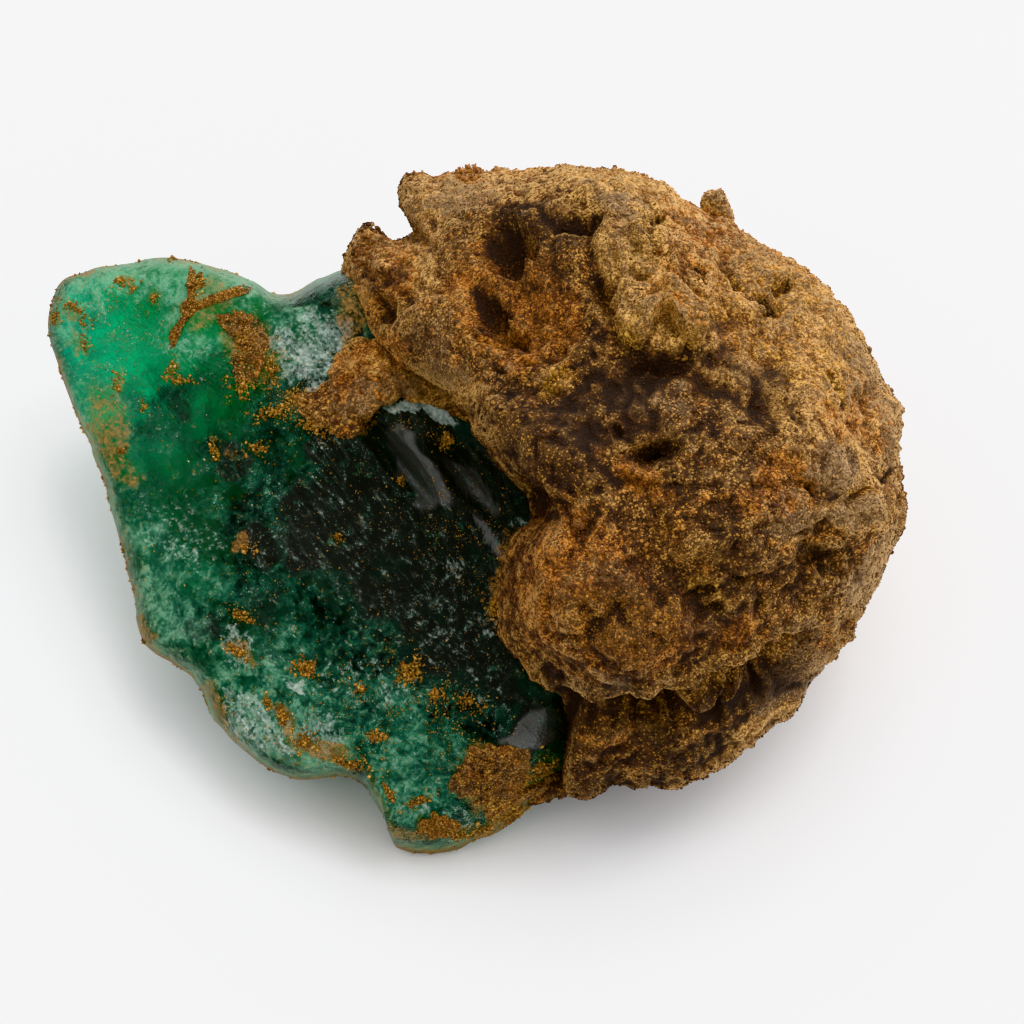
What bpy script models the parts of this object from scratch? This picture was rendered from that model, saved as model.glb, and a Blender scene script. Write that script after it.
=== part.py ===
"""Raw emerald in its earthy crust, as found.

A wedge of green beryl with shell-like fracture dishes has its thick end buried in a lumpy clod of brown,
iron-stained soil. Thinner patches of the same soil cling to the crystal.

The stones are worked out in the specimen's face frame, in millimetres: a runs right across the broad face,
b up the face and c out of it. The face lies back at FACE_SLOPE from the table, and face_to_row turns it to
the row frame, where +Z is up, -Y is the side the face is seen from, and the specimen lies on z = 0.
"""

import math

import bmesh
import bpy
import numpy as np
from mathutils import Vector
from mathutils.bvhtree import BVHTree

# Driving dimensions. Lengths are in millimetres until a mesh is made, and angles in degrees.
MM = 0.001
TURN = 2.0 * math.pi
FACE_SLOPE = 35.0
FACE_HEIGHT = 15.3  # the face frame's origin above the table
FOOTPRINT_CENTRE = (-0.69, 4.04)  # row-frame x and y that the part's origin is moved to
GAP = 0.35  # clearance between neighbouring pieces
EMERALD_CELLS = 24  # grid cells across each sheet of the emerald
CRUST_CELLS = 40
PATCH_CELLS = 7
KNOB_CELLS = 6

# The emerald's rim seen square on to the face, (a, b), anticlockwise from where it leaves the crust on top.
EMERALD_HEART = (-9.5, -3.0)
EMERALD_RIM = (
    (-9.4, 19.0), (-14.9, 16.9), (-17.5, 17.9), (-21.8, 19.6), (-25.8, 19.8), (-31.4, 18.8),
    (-33.5, 16.6), (-33.6, 13.8), (-31.6, 8.4), (-29.4, 3.4), (-27.4, -2.5), (-26.2, -7.5),
    (-25.0, -10.6), (-21.4, -13.3), (-19.4, -16.6), (-14.4, -20.3), (-9.2, -20.4), (-7.0, -23.2),
    (-5.5, -25.9), (-0.6, -25.6), (3.4, -23.2), (8.5, -18.0), (12.0, -10.0), (13.0, 0.0),
    (10.0, 9.0), (2.0, 16.5),
)
RIM_DROP = 0.33  # how fast the rim falls behind the face, for each millimetre up it
RIM_BEND = (-18.0, 2.0)  # b where that fall sets in, and how gently
RIM_ROUNDING = 1.1  # how far in from the rim the surface nears its full thickness
BURIED_ROUNDING = 4.0  # the same, added on the end that the crust hides
BURIED_SPAN = (4.0, 10.0)  # a over which that end begins
LOBE_ROUNDING = 2.6  # and added on the lower lobe, which slopes down to the table
LOBE_SPANS = ((-8.0, -3.0), (-21.0, -15.0))  # a over which the lobe begins, and b over which it ends
WEDGE_LEFT = -34.0  # the thin edge of the wedge
WEDGE_FRONT = (1.2, 0.24)  # thickness before the rim: at the thin edge, and gained for each millimetre right
WEDGE_BACK = (1.0, 0.30)
TABLE_EASE = 0.3  # how softly the underside flattens as it nears the table

# Dishes left by shell-like fracture: (a, b, half length, half width, turn, depth).
FRONT_DISHES = {
    "main_bowl": (-5.7, -4.0, 12.0, 8.0, -50.0, 2.4),
    "left_window": (-21.0, 4.0, 8.5, 6.0, -50.0, 1.3),
    "lower_left": (-15.6, -16.0, 7.0, 3.2, -38.0, 1.3),
    "foot_lobe": (-1.9, -20.6, 6.5, 4.5, 10.0, 1.5),
    "upper_flute": (-5.3, 2.8, 5.5, 1.6, -50.0, 3.0),
    "lower_flute": (-0.5, 2.1, 4.5, 1.6, -50.0, 2.6),
    "vein_step": (-17.8, 14.7, 4.5, 2.6, 25.0, 0.8),
    "corner": (-27.5, 13.4, 5.5, 4.5, 0.0, 0.7),
    "bright_chip": (5.0, -16.4, 3.8, 2.8, 25.0, 1.4),
    "left_edge": (-25.6, -4.0, 8.0, 2.6, -72.0, 0.8),
    "green_slope": (-12.0, -10.0, 7.0, 4.2, -50.0, 1.6),
    "frosted_shoulder": (-10.6, 12.8, 3.6, 2.2, 20.0, 0.9),
}
BACK_DISHES = {
    "upper": (-21.0, 9.0, 10.0, 8.0, 20.0, 2.2),
    "lower": (-14.0, -9.0, 10.0, 6.0, -40.0, 1.9),
    "right": (-5.0, 10.0, 9.0, 7.0, 60.0, 2.2),
    "left": (-25.0, -2.0, 7.0, 4.5, -70.0, 1.0),
    "shoulder": (-13.0, 15.0, 6.0, 3.6, 10.0, 1.6),
}

# The crust: a blunt ball, drawn out sideways to its outline seen square on to the face, (a, b).
CRUST_HEART = (12.0, 2.4, -0.4)
CRUST_RADII = (21.5, 24.0, 18.0)
CRUST_BLUNTNESS = 2.4
CRUST_HUG = 0.65  # share of the rim's fall that the crust follows where it thins out over the crystal
CRUST_HUG_SPAN = (-6.0, 10.0)  # a over which it stops following
CRUST_OUTLINE = (
    (31.8, 3.6), (32.4, 7.6), (31.1, 9.4), (30.1, 12.0), (27.9, 15.9), (23.8, 19.5), (20.2, 21.9),
    (15.9, 24.0), (11.2, 25.6), (6.0, 26.1), (2.0, 26.4), (-5.0, 26.3), (-6.2, 24.4), (-4.7, 21.6),
    (-6.7, 21.0), (-8.3, 22.1), (-9.7, 20.2), (-10.2, 15.5), (-9.6, 10.3), (-4.0, 7.9), (0.8, 3.6),
    (2.4, -2.0), (1.8, -9.0), (3.4, -12.5), (6.4, -16.0), (6.8, -21.1), (10.9, -20.6), (13.4, -20.2),
    (15.7, -20.2), (19.2, -18.0), (23.7, -14.8), (26.6, -11.0), (29.4, -6.9), (31.6, -2.9),
)
OUTLINE_BLUR = 14.0  # degrees over which the outline is averaged for the ball's general form
OUTLINE_CLING = 8  # a high power keeps the outline's own notches and horns close to it
RELIEF_FADE = (0.86, 1.0)  # shares of the way out to the outline over which lumps and pits die away

# Lumps and pits: (a, b, half length, half width, turn, height), a pit's height being negative.
CRUST_FRONT_RELIEF = {
    "nose_ridge": (11.6, 16.8, 7.5, 2.6, -80.0, 2.4),
    "nose_tip": (14.3, 11.9, 3.2, 2.0, -20.0, 1.9),
    "under_nose": (14.2, 9.2, 3.8, 1.7, -12.0, -1.7),
    "deep_pit": (2.3, 19.6, 2.9, 2.2, 0.0, -4.2),
    "granular_hollow": (3.6, 14.6, 5.2, 4.2, -35.0, -2.2),
    "crack": (0.6, 15.0, 3.6, 1.3, -78.0, -2.4),
    "nose_pit": (9.0, 16.6, 2.6, 1.4, -80.0, -2.2),
    "top_slot": (7.8, 20.6, 2.2, 0.9, 8.0, -1.6),
    "top_hole": (12.9, 20.6, 1.2, 1.0, 0.0, -1.3),
    "upper_left_lobe": (-2.9, 12.6, 4.6, 3.6, 30.0, 1.2),
    "horn_root": (-6.8, 17.2, 2.6, 2.0, 0.0, 1.0),
    "horn_hollow": (-6.6, 15.0, 1.5, 1.3, 0.0, -1.5),
    "brow": (4.6, 4.6, 7.0, 3.0, -38.0, 1.7),
    "lip_recess": (4.2, 0.0, 2.8, 2.0, -60.0, -2.4),
    "belly": (9.4, -7.0, 8.0, 5.2, -35.0, 1.9),
    "mid_hollow": (13.2, 4.0, 2.2, 1.2, 10.0, -1.6),
    "mid_lump": (19.5, -2.0, 6.0, 3.6, 25.0, 1.1),
    "right_shoulder": (24.0, 7.0, 5.5, 3.8, 70.0, 1.2),
    "right_hole": (21.9, 15.2, 1.5, 1.1, -50.0, -1.5),
    "right_ledge": (20.0, 15.0, 2.6, 1.2, -35.0, 0.9),
    "right_crease": (24.6, -3.4, 3.4, 1.1, -28.0, -1.6),
    "right_knuckle": (27.0, 0.4, 3.4, 2.6, 60.0, 1.0),
    "skirt_hollow": (13.2, -16.6, 3.4, 1.5, 0.0, -2.0),
    "skirt_step": (17.8, -14.9, 3.8, 1.0, 18.0, 1.4),
}
CRUST_BACK_RELIEF = {
    "back_lobe": (14.0, 12.0, 9.0, 7.0, 20.0, 1.8),
    "back_hollow": (24.0, 4.0, 6.0, 4.0, 60.0, -2.0),
    "back_pit": (6.0, 16.0, 3.0, 2.4, 0.0, -2.4),
    "back_rib": (4.0, 4.0, 8.0, 2.6, 75.0, 1.6),
    "back_cleft": (16.0, 1.0, 7.0, 1.6, 35.0, -2.0),
    "back_knuckle": (25.0, 14.0, 4.0, 3.0, -40.0, 1.4),
}
CRUST_LUMPS = {9.0: 0.9, 4.5: 0.5}  # size of the natural unevenness: its height

# The crust overhangs a recessed skirt under a ledge, a line of (a, b) points from the crystal to the right.
LEDGE_LINE = (
    (3.0, -12.4), (7.4, -13.6), (11.7, -14.0), (15.3, -13.2), (19.0, -11.9), (23.3, -9.4), (29.5, -7.0),
)
LEDGE_DEPTH = 4.2
LEDGE_LIP = (-0.4, 1.2)  # how far above and below the line the lip turns in
SKIRT_RETURN = (1.4, 5.0, 0.55)  # how far below it the skirt comes out again, and by what share of the depth

# Soil stuck to the emerald: its outline on the face, (a, b), and its greatest thickness.
PATCH_EDGE = 0.3  # a patch's thickness at its edge, as a share of its greatest
BRIDGE = 0.45  # how far round each point the soil feels for what holds it up
SOIL_PATCHES = {
    "soil_vein": (
        ((-16.2, 16.6), (-17.6, 16.9), (-20.0, 15.4), (-21.0, 18.0), (-22.0, 17.8), (-21.7, 15.0),
         (-23.1, 13.4), (-23.5, 11.2), (-22.6, 11.4), (-21.4, 13.6), (-19.2, 14.4)),
        0.7,
    ),
    "soil_upper_patch": (
        ((-16.0, 15.2), (-18.4, 15.0), (-19.6, 13.6), (-17.9, 11.9), (-17.6, 9.6), (-16.3, 9.9),
         (-15.4, 12.4)),
        0.7,
    ),
    "soil_tip_patch": (
        ((-1.0, -23.3), (-2.9, -22.9), (-4.9, -23.5), (-5.0, -24.4), (-3.2, -24.3), (-1.2, -24.2)),
        0.6,
    ),
    "soil_lower_patch": (
        ((3.7, -18.0), (1.2, -17.7), (-1.1, -18.3), (-2.0, -20.2), (0.2, -21.2), (1.0, -23.0),
         (2.8, -22.6), (4.0, -20.6)),
        0.9,
    ),
}
SOIL_TONGUE = (
    ((-3.2, 9.4), (-6.6, 9.6), (-9.6, 9.4), (-12.9, 8.4), (-13.4, 6.6), (-11.2, 5.9), (-8.6, 6.4),
     (-5.0, 7.6)),
    1.5,
)

# A small finger of soil on the crust's upper right shoulder: (a, b, c), half sizes, and its turn about c.
KNOB_CENTRE = (18.7, 22.6, -4.6)
KNOB_RADII = (1.15, 2.5, 1.3)
KNOB_TURN = 12.0

SHARP_ANGLE = 32.0  # edges that bend by more than this are shaded sharp


def face_axes():
    """The face frame's a, b and c directions in the row frame, as the rows of a matrix."""
    rise, run = math.sin(math.radians(FACE_SLOPE)), math.cos(math.radians(FACE_SLOPE))
    return np.array([[1.0, 0.0, 0.0], [0.0, run, rise], [0.0, -rise, run]])


def face_to_row(points):
    """Turns face-frame points to the row frame, lifted off the table and centred over the origin."""
    return points @ face_axes() + np.array([-FOOTPRINT_CENTRE[0], -FOOTPRINT_CENTRE[1], FACE_HEIGHT])


def smooth_step(low, high, value):
    """0 below low, 1 above high, and an S curve between."""
    share = np.clip((value - low) / (high - low), 0.0, 1.0)
    return share * share * (3.0 - 2.0 * share)


def closed_curve(points, share):
    """A Catmull-Rom curve once round the points, evaluated at shares of the way, 0 to 1, by point count."""
    points = np.asarray(points, float)
    place = np.asarray(share) * len(points)
    first = np.floor(place).astype(int)
    t = (place - first)[:, None]
    p0, p1, p2, p3 = (points[(first + k) % len(points)] for k in (-1, 0, 1, 2))
    bend = 2.0 * p0 - 5.0 * p1 + 4.0 * p2 - p3
    return 0.5 * (2.0 * p1 + (p2 - p0) * t + bend * t**2 + (3.0 * p1 - p0 - 3.0 * p2 + p3) * t**3)


def value_noise(points, seed):
    """Smooth noise from -1 to 1: hashed values on a unit lattice, blended by a quintic S curve."""
    cell = np.floor(points).astype(np.int64)
    part = points - cell
    part = part**3 * (part * (part * 6.0 - 15.0) + 10.0)
    total = np.zeros(len(points))
    for corner in np.ndindex(2, 2, 2):
        mixed = (cell + np.array(corner)) @ np.array([374761393, 668265263, 1274126177]) + seed * 974634777
        mixed = mixed & 0xFFFFFFFF
        mixed = ((mixed ^ (mixed >> 13)) * 1274126177) & 0xFFFFFFFF
        value = ((mixed ^ (mixed >> 16)) & 0xFFFF) / 32767.5 - 1.0
        total += value * np.prod(np.where(np.array(corner) == 1, part, 1.0 - part), axis=1)
    return total


def stone_grid(cells):
    """Two square sheets, pressed round into discs and joined along their rim, wrap a stone front and back.

    Returns rho, 0 at a disc's middle and 1 at its rim, theta round it, which points are in front, and quads.
    """
    side = np.linspace(-1.0, 1.0, cells + 1)
    x, y = (grid.ravel() for grid in np.meshgrid(side, side, indexing="ij"))
    wide = np.abs(x) > np.abs(y)
    far = np.where(wide, x, y)
    near = np.where(wide, y, x)
    slant = 0.125 * TURN * np.divide(near, far, out=np.zeros_like(far), where=far != 0.0)
    theta = np.where(wide, slant, 0.25 * TURN - slant) + np.where(far < 0.0, 0.5 * TURN, 0.0)
    rho = np.abs(far)
    inner = rho < 1.0 - 0.5 / cells
    front = np.arange(x.size)
    back = front.copy()
    back[inner] = front.size + np.arange(inner.sum())
    sheets = []
    for sheet in (front, back):
        square = sheet.reshape(cells + 1, cells + 1)
        corners = [square[:-1, :-1], square[1:, :-1], square[1:, 1:], square[:-1, 1:]]
        sheets.append(np.stack(corners, axis=-1).reshape(-1, 4))
    quads = np.concatenate([sheets[0], sheets[1][:, ::-1]])
    in_front = np.arange(front.size + inner.sum()) < front.size
    return np.append(rho, rho[inner]), np.append(theta, theta[inner]) % TURN, in_front, quads


def bowl(ab, a, b, length, width, turn):
    """1 at the middle of a turned ellipse, falling as a paraboloid to 0 on its edge and below 0 outside."""
    cos, sin = math.cos(math.radians(turn)), math.sin(math.radians(turn))
    along = (ab[:, 0] - a) * cos + (ab[:, 1] - b) * sin
    across = (ab[:, 1] - b) * cos - (ab[:, 0] - a) * sin
    return 1.0 - (along / length) ** 2 - (across / width) ** 2


def dish_depth(ab, dishes):
    """How deep the deepest dish cuts at each point, with a crisp lip where dishes meet or end."""
    deepest = np.zeros(len(ab))
    for *place, depth in dishes.values():
        deepest = np.maximum(deepest, depth * bowl(ab, *place))
    return deepest


def relief_height(ab, features):
    """The sum of rounded lumps and pits, each fading out smoothly at its edge."""
    total = np.zeros(len(ab))
    for *place, height in features.values():
        total += height * smooth_step(0.0, 1.0, bowl(ab, *place))
    return total


def rim_fall(b):
    """How far the emerald's mid-surface lies behind the face: level below the bend, and falling above it."""
    bend, ease = RIM_BEND
    return RIM_DROP * ease * np.logaddexp(0.0, (b - bend) / ease)


def emerald_points(rho, theta, in_front):
    """The emerald's surface: its rim drawn in to the heart by rho, with a wedge's thickness front and back.

    The thickness grows from the thin left edge to the buried end and rises from the rim over its blunt edge.
    The fracture dishes are taken off it, and the underside flattens as it nears the table.
    """
    rim = closed_curve(EMERALD_RIM, theta / TURN)
    heart = np.array(EMERALD_HEART)
    ab = heart + rho[:, None] * (rim - heart)
    from_rim = (1.0 - rho) * np.linalg.norm(rim - heart, axis=1)
    rounding = RIM_ROUNDING + BURIED_ROUNDING * smooth_step(*BURIED_SPAN, ab[:, 0])
    lobe = smooth_step(*LOBE_SPANS[0], ab[:, 0]) * (1.0 - smooth_step(*LOBE_SPANS[1], ab[:, 1]))
    rounding += LOBE_ROUNDING * lobe
    rise = 1.0 - np.exp(-from_rim / rounding)
    along = ab[:, 0] - WEDGE_LEFT
    front = (WEDGE_FRONT[0] + WEDGE_FRONT[1] * along - dish_depth(ab, FRONT_DISHES)) * rise
    back = (WEDGE_BACK[0] + WEDGE_BACK[1] * along - dish_depth(ab, BACK_DISHES)) * rise
    points = np.column_stack([ab, np.where(in_front, front, -back) - rim_fall(ab[:, 1])])
    axes = face_axes()
    height = points @ axes[:, 2] + FACE_HEIGHT
    eased = 0.5 * (height + np.hypot(height, 2.0 * TABLE_EASE))
    points[:, 2] += np.where(in_front & (rho < 1.0), 0.0, eased - height) / axes[2, 2]
    return points


def outline_radius(outline, heart, theta, blur=0.0):
    """How far the outline lies from the heart in each direction, averaged over blur degrees either way."""
    curve = closed_curve(outline, np.arange(0.0, 1.0, 0.001)) - np.array(heart)
    turned = np.arctan2(curve[:, 1], curve[:, 0]) % TURN
    order = np.argsort(turned)
    turned = turned[order]
    reach = np.linalg.norm(curve, axis=1)[order]
    spread = math.radians(blur) * np.linspace(-1.0, 1.0, 9)
    return np.mean([np.interp(theta + turn, turned, reach, period=TURN) for turn in spread], axis=0)


def ball_radius(directions):
    """Distance from the crust's heart to a blunt ball, a superellipsoid, along row-frame directions."""
    share = np.abs(directions / np.array(CRUST_RADII)) ** CRUST_BLUNTNESS
    return share.sum(axis=1) ** (-1.0 / CRUST_BLUNTNESS)


def directions_of(tilt, theta):
    """Face-frame unit vectors: tilt is the angle from the c axis, theta the angle round it."""
    return np.column_stack([np.sin(tilt) * np.cos(theta), np.sin(tilt) * np.sin(theta), np.cos(tilt)])


def shadow_radius(theta):
    """The bare ball's outline as seen square on to the face, in each direction theta."""
    widest = np.zeros(len(theta))
    for tilt in np.linspace(0.125, 0.375, 41) * TURN:
        ways = directions_of(np.full(len(theta), tilt), theta) @ face_axes()
        widest = np.maximum(widest, ball_radius(ways) * math.sin(tilt))
    return widest


def ledge_cut(ab):
    """How far the skirt is cut back below the ledge line: a sharp lip, then a gentler return."""
    line = np.array(LEDGE_LINE)
    below = np.interp(ab[:, 0], line[:, 0], line[:, 1]) - ab[:, 1]
    start, end, share = SKIRT_RETURN
    cut = smooth_step(*LEDGE_LIP, below) * (1.0 - share * smooth_step(start, end, below))
    ends = smooth_step(*line[:2, 0], ab[:, 0]) * (1.0 - smooth_step(*line[-2:, 0], ab[:, 0]))
    return LEDGE_DEPTH * cut * ends


def crust_points(rho, theta, in_front):
    """The crust's surface: the blunt ball, drawn sideways so that its outline meets CRUST_OUTLINE.

    The lumps, the pits and the ledge then move each point straight out from the heart or in towards it.
    """
    tilt = rho * 0.25 * TURN
    tilt = np.where(in_front, tilt, 0.5 * TURN - tilt)
    ways = directions_of(tilt, theta)
    offset = ways * ball_radius(ways @ face_axes())[:, None]
    heart = np.array(CRUST_HEART)
    shadow = shadow_radius(theta)
    share = np.hypot(offset[:, 0], offset[:, 1]) / shadow
    broad = outline_radius(CRUST_OUTLINE, heart[:2], theta, OUTLINE_BLUR)
    sharp = outline_radius(CRUST_OUTLINE, heart[:2], theta)
    drawn = (broad / shadow) ** smooth_step(0.0, 1.0, share) * (sharp / broad) ** share**OUTLINE_CLING
    offset[:, :2] *= drawn[:, None]
    ab = heart[:2] + offset[:, :2]
    front = relief_height(ab, CRUST_FRONT_RELIEF) - ledge_cut(ab)
    relief = np.where(in_front, front, relief_height(ab, CRUST_BACK_RELIEF))
    relief *= 1.0 - smooth_step(*RELIEF_FADE, share)
    for seed, (size, height) in enumerate(CRUST_LUMPS.items()):
        relief += height * value_noise((heart + offset) / size, seed)
    reach = np.linalg.norm(offset, axis=1)
    points = heart + offset * ((reach + relief) / reach)[:, None]
    points[:, 2] -= CRUST_HUG * rim_fall(points[:, 1]) * (1.0 - smooth_step(*CRUST_HUG_SPAN, points[:, 0]))
    return points


def knob_points(rho, theta, in_front):
    """A small finger of soil standing up from the crust's upper right shoulder, an ellipsoid."""
    tilt = np.where(in_front, rho * 0.25, 0.5 - rho * 0.25) * TURN
    offset = directions_of(tilt, theta) * np.array(KNOB_RADII)
    cos, sin = math.cos(math.radians(KNOB_TURN)), math.sin(math.radians(KNOB_TURN))
    turn = np.array([[cos, sin, 0.0], [-sin, cos, 0.0], [0.0, 0.0, 1.0]])
    return np.array(KNOB_CENTRE) + offset @ turn


def drop_on(surface, ab):
    """The height c that points rest at when dropped square on to the face of a surface, a tree of triangles.

    Each is held up by the highest of the spots close round it, as soil bridges the sharp lips beneath it.
    """
    highest = np.full(len(ab), -np.inf)
    for step in BRIDGE * np.array([(0, 0), (1, 0), (-1, 0), (0, 1), (0, -1)]):
        for number, (a, b) in enumerate((ab + step).tolist()):
            hit = surface.ray_cast(Vector((a, b, 100.0)), Vector((0.0, 0.0, -1.0)))[0]
            if hit:
                highest[number] = max(highest[number], hit.z)
    return highest


def patch_points(rho, theta, in_front, outline, thickness, surface):
    """A soil patch: its outline drawn in to its middle by rho, GAP off the surface and swelling inwards."""
    rim = closed_curve(outline, theta / TURN)
    middle = rim.mean(axis=0)
    ab = middle + rho[:, None] * (rim - middle)
    under = drop_on(surface, ab) + GAP
    swell = PATCH_EDGE + (1.0 - PATCH_EDGE) * np.sqrt(1.0 - rho**2)
    return np.column_stack([ab, under + np.where(in_front, thickness * swell, 0.0)])


def face_mesh(name, points, quads):
    """A mesh of triangles with its points still in the face frame and millimetres."""
    mesh = bpy.data.meshes.new(name)
    mesh.from_pydata(points.tolist(), [], quads.tolist())
    form = bmesh.new()
    form.from_mesh(mesh)
    bmesh.ops.triangulate(form, faces=form.faces)
    form.to_mesh(mesh)
    form.free()
    return mesh


def place(mesh):
    """Moves a face-frame mesh to the row frame, in metres."""
    points = np.empty(3 * len(mesh.vertices), np.float32)
    mesh.vertices.foreach_get("co", points)
    placed = face_to_row(points.reshape(-1, 3)) * MM
    mesh.vertices.foreach_set("co", placed.ravel().astype(np.float32))
    mesh.update()
    return mesh


def grow(mesh, distance):
    """A copy of a face-frame mesh with every point moved out along its normal."""
    grown = mesh.copy()
    form = bmesh.new()
    form.from_mesh(grown)
    form.normal_update()
    for vert in form.verts:
        vert.co += vert.normal * distance
    form.to_mesh(grown)
    form.free()
    return grown


def cut_foot(mesh):
    """Cuts a placed mesh off flat at the table, z = 0, and closes the cut."""
    form = bmesh.new()
    form.from_mesh(mesh)
    everything = form.verts[:] + form.edges[:] + form.faces[:]
    cut = bmesh.ops.bisect_plane(form, geom=everything, plane_no=(0, 0, -1), clear_outer=True)
    edges = [item for item in cut["geom_cut"] if isinstance(item, bmesh.types.BMEdge)]
    bmesh.ops.triangle_fill(form, use_beauty=True, use_dissolve=False, edges=edges, normal=(0, 0, -1))
    form.to_mesh(mesh)
    form.free()
    return mesh


def plain_material(name, colour, roughness):
    """A material with one colour and one roughness."""
    material = bpy.data.materials.new(name)
    material.use_nodes = True
    shader = material.node_tree.nodes["Principled BSDF"]
    shader.inputs["Base Color"].default_value = (*colour, 1.0)
    shader.inputs["Roughness"].default_value = roughness
    shader.inputs["Metallic"].default_value = 0.0
    return material


def show(name, mesh, material):
    """Links a placed mesh to the scene as a named piece, smooth but for its sharp lips."""
    mesh.materials.append(material)
    mesh.shade_smooth()
    mesh.set_sharp_from_angle(angle=math.radians(SHARP_ANGLE))
    made = bpy.data.objects.new(name, mesh)
    bpy.context.scene.collection.objects.link(made)
    return made


def combine(piece, operation, name, mesh):
    """Cuts a tool's mesh from a piece, or joins it on, by a Boolean that stays on the piece."""
    tool = bpy.data.objects.new(name, mesh)
    bpy.context.scene.collection.objects.link(tool)
    tool.hide_render = True
    tool.display_type = "WIRE"
    step = piece.modifiers.new(name, "BOOLEAN")
    step.operation = operation
    step.solver = "EXACT"
    step.object = tool


def build_emerald(material):
    """The crystal, and its surface as a tree that soil can be dropped on."""
    rho, theta, in_front, quads = stone_grid(EMERALD_CELLS)
    mesh = face_mesh("emerald", emerald_points(rho, theta, in_front), quads)
    seat = grow(mesh, GAP)
    surface = BVHTree.FromPolygons([v.co for v in mesh.vertices], [p.vertices for p in mesh.polygons])
    show("emerald", place(mesh), material)
    return seat, surface


def build_patch(name, outline, thickness, surface):
    """The mesh of one patch of soil lying on the crystal."""
    rho, theta, in_front, quads = stone_grid(PATCH_CELLS)
    return place(face_mesh(name, patch_points(rho, theta, in_front, outline, thickness, surface), quads))


def build_crust(material, seat, surface):
    """The clod: cut flat underneath, hollowed where the crystal sits, with its knob and tongue of soil."""
    rho, theta, in_front, quads = stone_grid(CRUST_CELLS)
    mesh = cut_foot(place(face_mesh("crust", crust_points(rho, theta, in_front), quads)))
    crust = show("crust", mesh, material)
    rho, theta, in_front, quads = stone_grid(KNOB_CELLS)
    combine(crust, "UNION", "knob", place(face_mesh("knob", knob_points(rho, theta, in_front), quads)))
    combine(crust, "DIFFERENCE", "crystal_seat", place(seat))
    combine(crust, "UNION", "tongue", build_patch("tongue", *SOIL_TONGUE, surface))


def main():
    """Clears the scene and builds every piece."""
    for old in list(bpy.data.objects):
        bpy.data.objects.remove(old)
    beryl = plain_material("green_beryl", (0.01, 0.22, 0.10), 0.15)
    soil = plain_material("brown_soil", (0.17, 0.08, 0.03), 0.9)
    seat, surface = build_emerald(beryl)
    build_crust(soil, seat, surface)
    for name, (outline, thickness) in SOIL_PATCHES.items():
        show(name, build_patch(name, outline, thickness, surface), soil)


if __name__ == "__main__":
    main()
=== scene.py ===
"""Looks of a raw emerald in its earthy crust.

A glassy wedge of green beryl, frosted and stained where it weathered, lies with its thick end in a lumpy
clod of iron-stained soil. Fine sand sits on the clod, on the soil patches and, thinly, on the crystal.

The stones are worked out in the specimen's face frame, in millimetres: a runs right across the broad face, b
up the face and c out of it. The face lies back at FACE_SLOPE from the table, and face_to_row turns it to the
row frame, where +Z is up. The surfaces are those of the solids in the frame, drawn finer and weathered.
"""

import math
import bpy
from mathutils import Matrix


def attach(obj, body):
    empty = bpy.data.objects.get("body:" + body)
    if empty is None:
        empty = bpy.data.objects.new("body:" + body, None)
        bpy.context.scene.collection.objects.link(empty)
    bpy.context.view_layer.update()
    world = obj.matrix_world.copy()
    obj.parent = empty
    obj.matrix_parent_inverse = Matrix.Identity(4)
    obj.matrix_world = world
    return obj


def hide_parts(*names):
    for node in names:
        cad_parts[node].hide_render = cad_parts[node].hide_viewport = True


bl_info = {
    "name": "Raw Emerald in Soil",
    "version": (1, 0, 0),
    "blender": (4, 5, 0),
    "location": "3D Viewport > Sidebar > Specimen",
    "description": "Builds a rough emerald in its clod of brown soil, with sand grains and a studio stage",
    "category": "Add Mesh",
}

import bmesh
import bpy
import numpy as np
from bpy.props import FloatProperty, FloatVectorProperty, IntProperty, PointerProperty
from bpy.types import Operator, Panel, PropertyGroup
from mathutils import Matrix, Vector

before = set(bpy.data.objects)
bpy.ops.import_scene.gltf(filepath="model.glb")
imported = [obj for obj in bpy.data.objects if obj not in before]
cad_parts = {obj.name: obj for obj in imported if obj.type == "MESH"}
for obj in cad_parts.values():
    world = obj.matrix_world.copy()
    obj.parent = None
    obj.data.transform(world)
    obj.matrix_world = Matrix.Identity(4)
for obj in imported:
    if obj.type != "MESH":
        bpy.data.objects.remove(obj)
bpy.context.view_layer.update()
BODY = "root"

# Driving dimensions, those of the solids. Lengths are in millimetres until a mesh is made, angles in degrees.
MM = 0.001
TURN = 2.0 * math.pi
FACE_SLOPE = 35.0
FACE_HEIGHT = 15.3  # the face frame's origin above the table
FOOTPRINT_CENTRE = (-0.69, 4.04)  # row-frame x and y that the part's origin is moved to
VIEW_AIM = np.array((2.81, -0.23))  # the face point, (a, b), that a viewer square on to the face looks at
VIEW_DISTANCE = 300.0  # from there to the viewer
SCRAMBLE = (374761393, 668265263, 1274126177, 974634777)  # odd numbers that mix a lattice point and a seed
OUTLINE_STEP = 0.001  # share of an outline between the points that are looked up
RIM_STEPS = 6001  # points of the emerald's rim that are looked up
BALL_STEPS = (721, 41)  # and of the ball's outline, with the tilts tried for each

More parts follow.
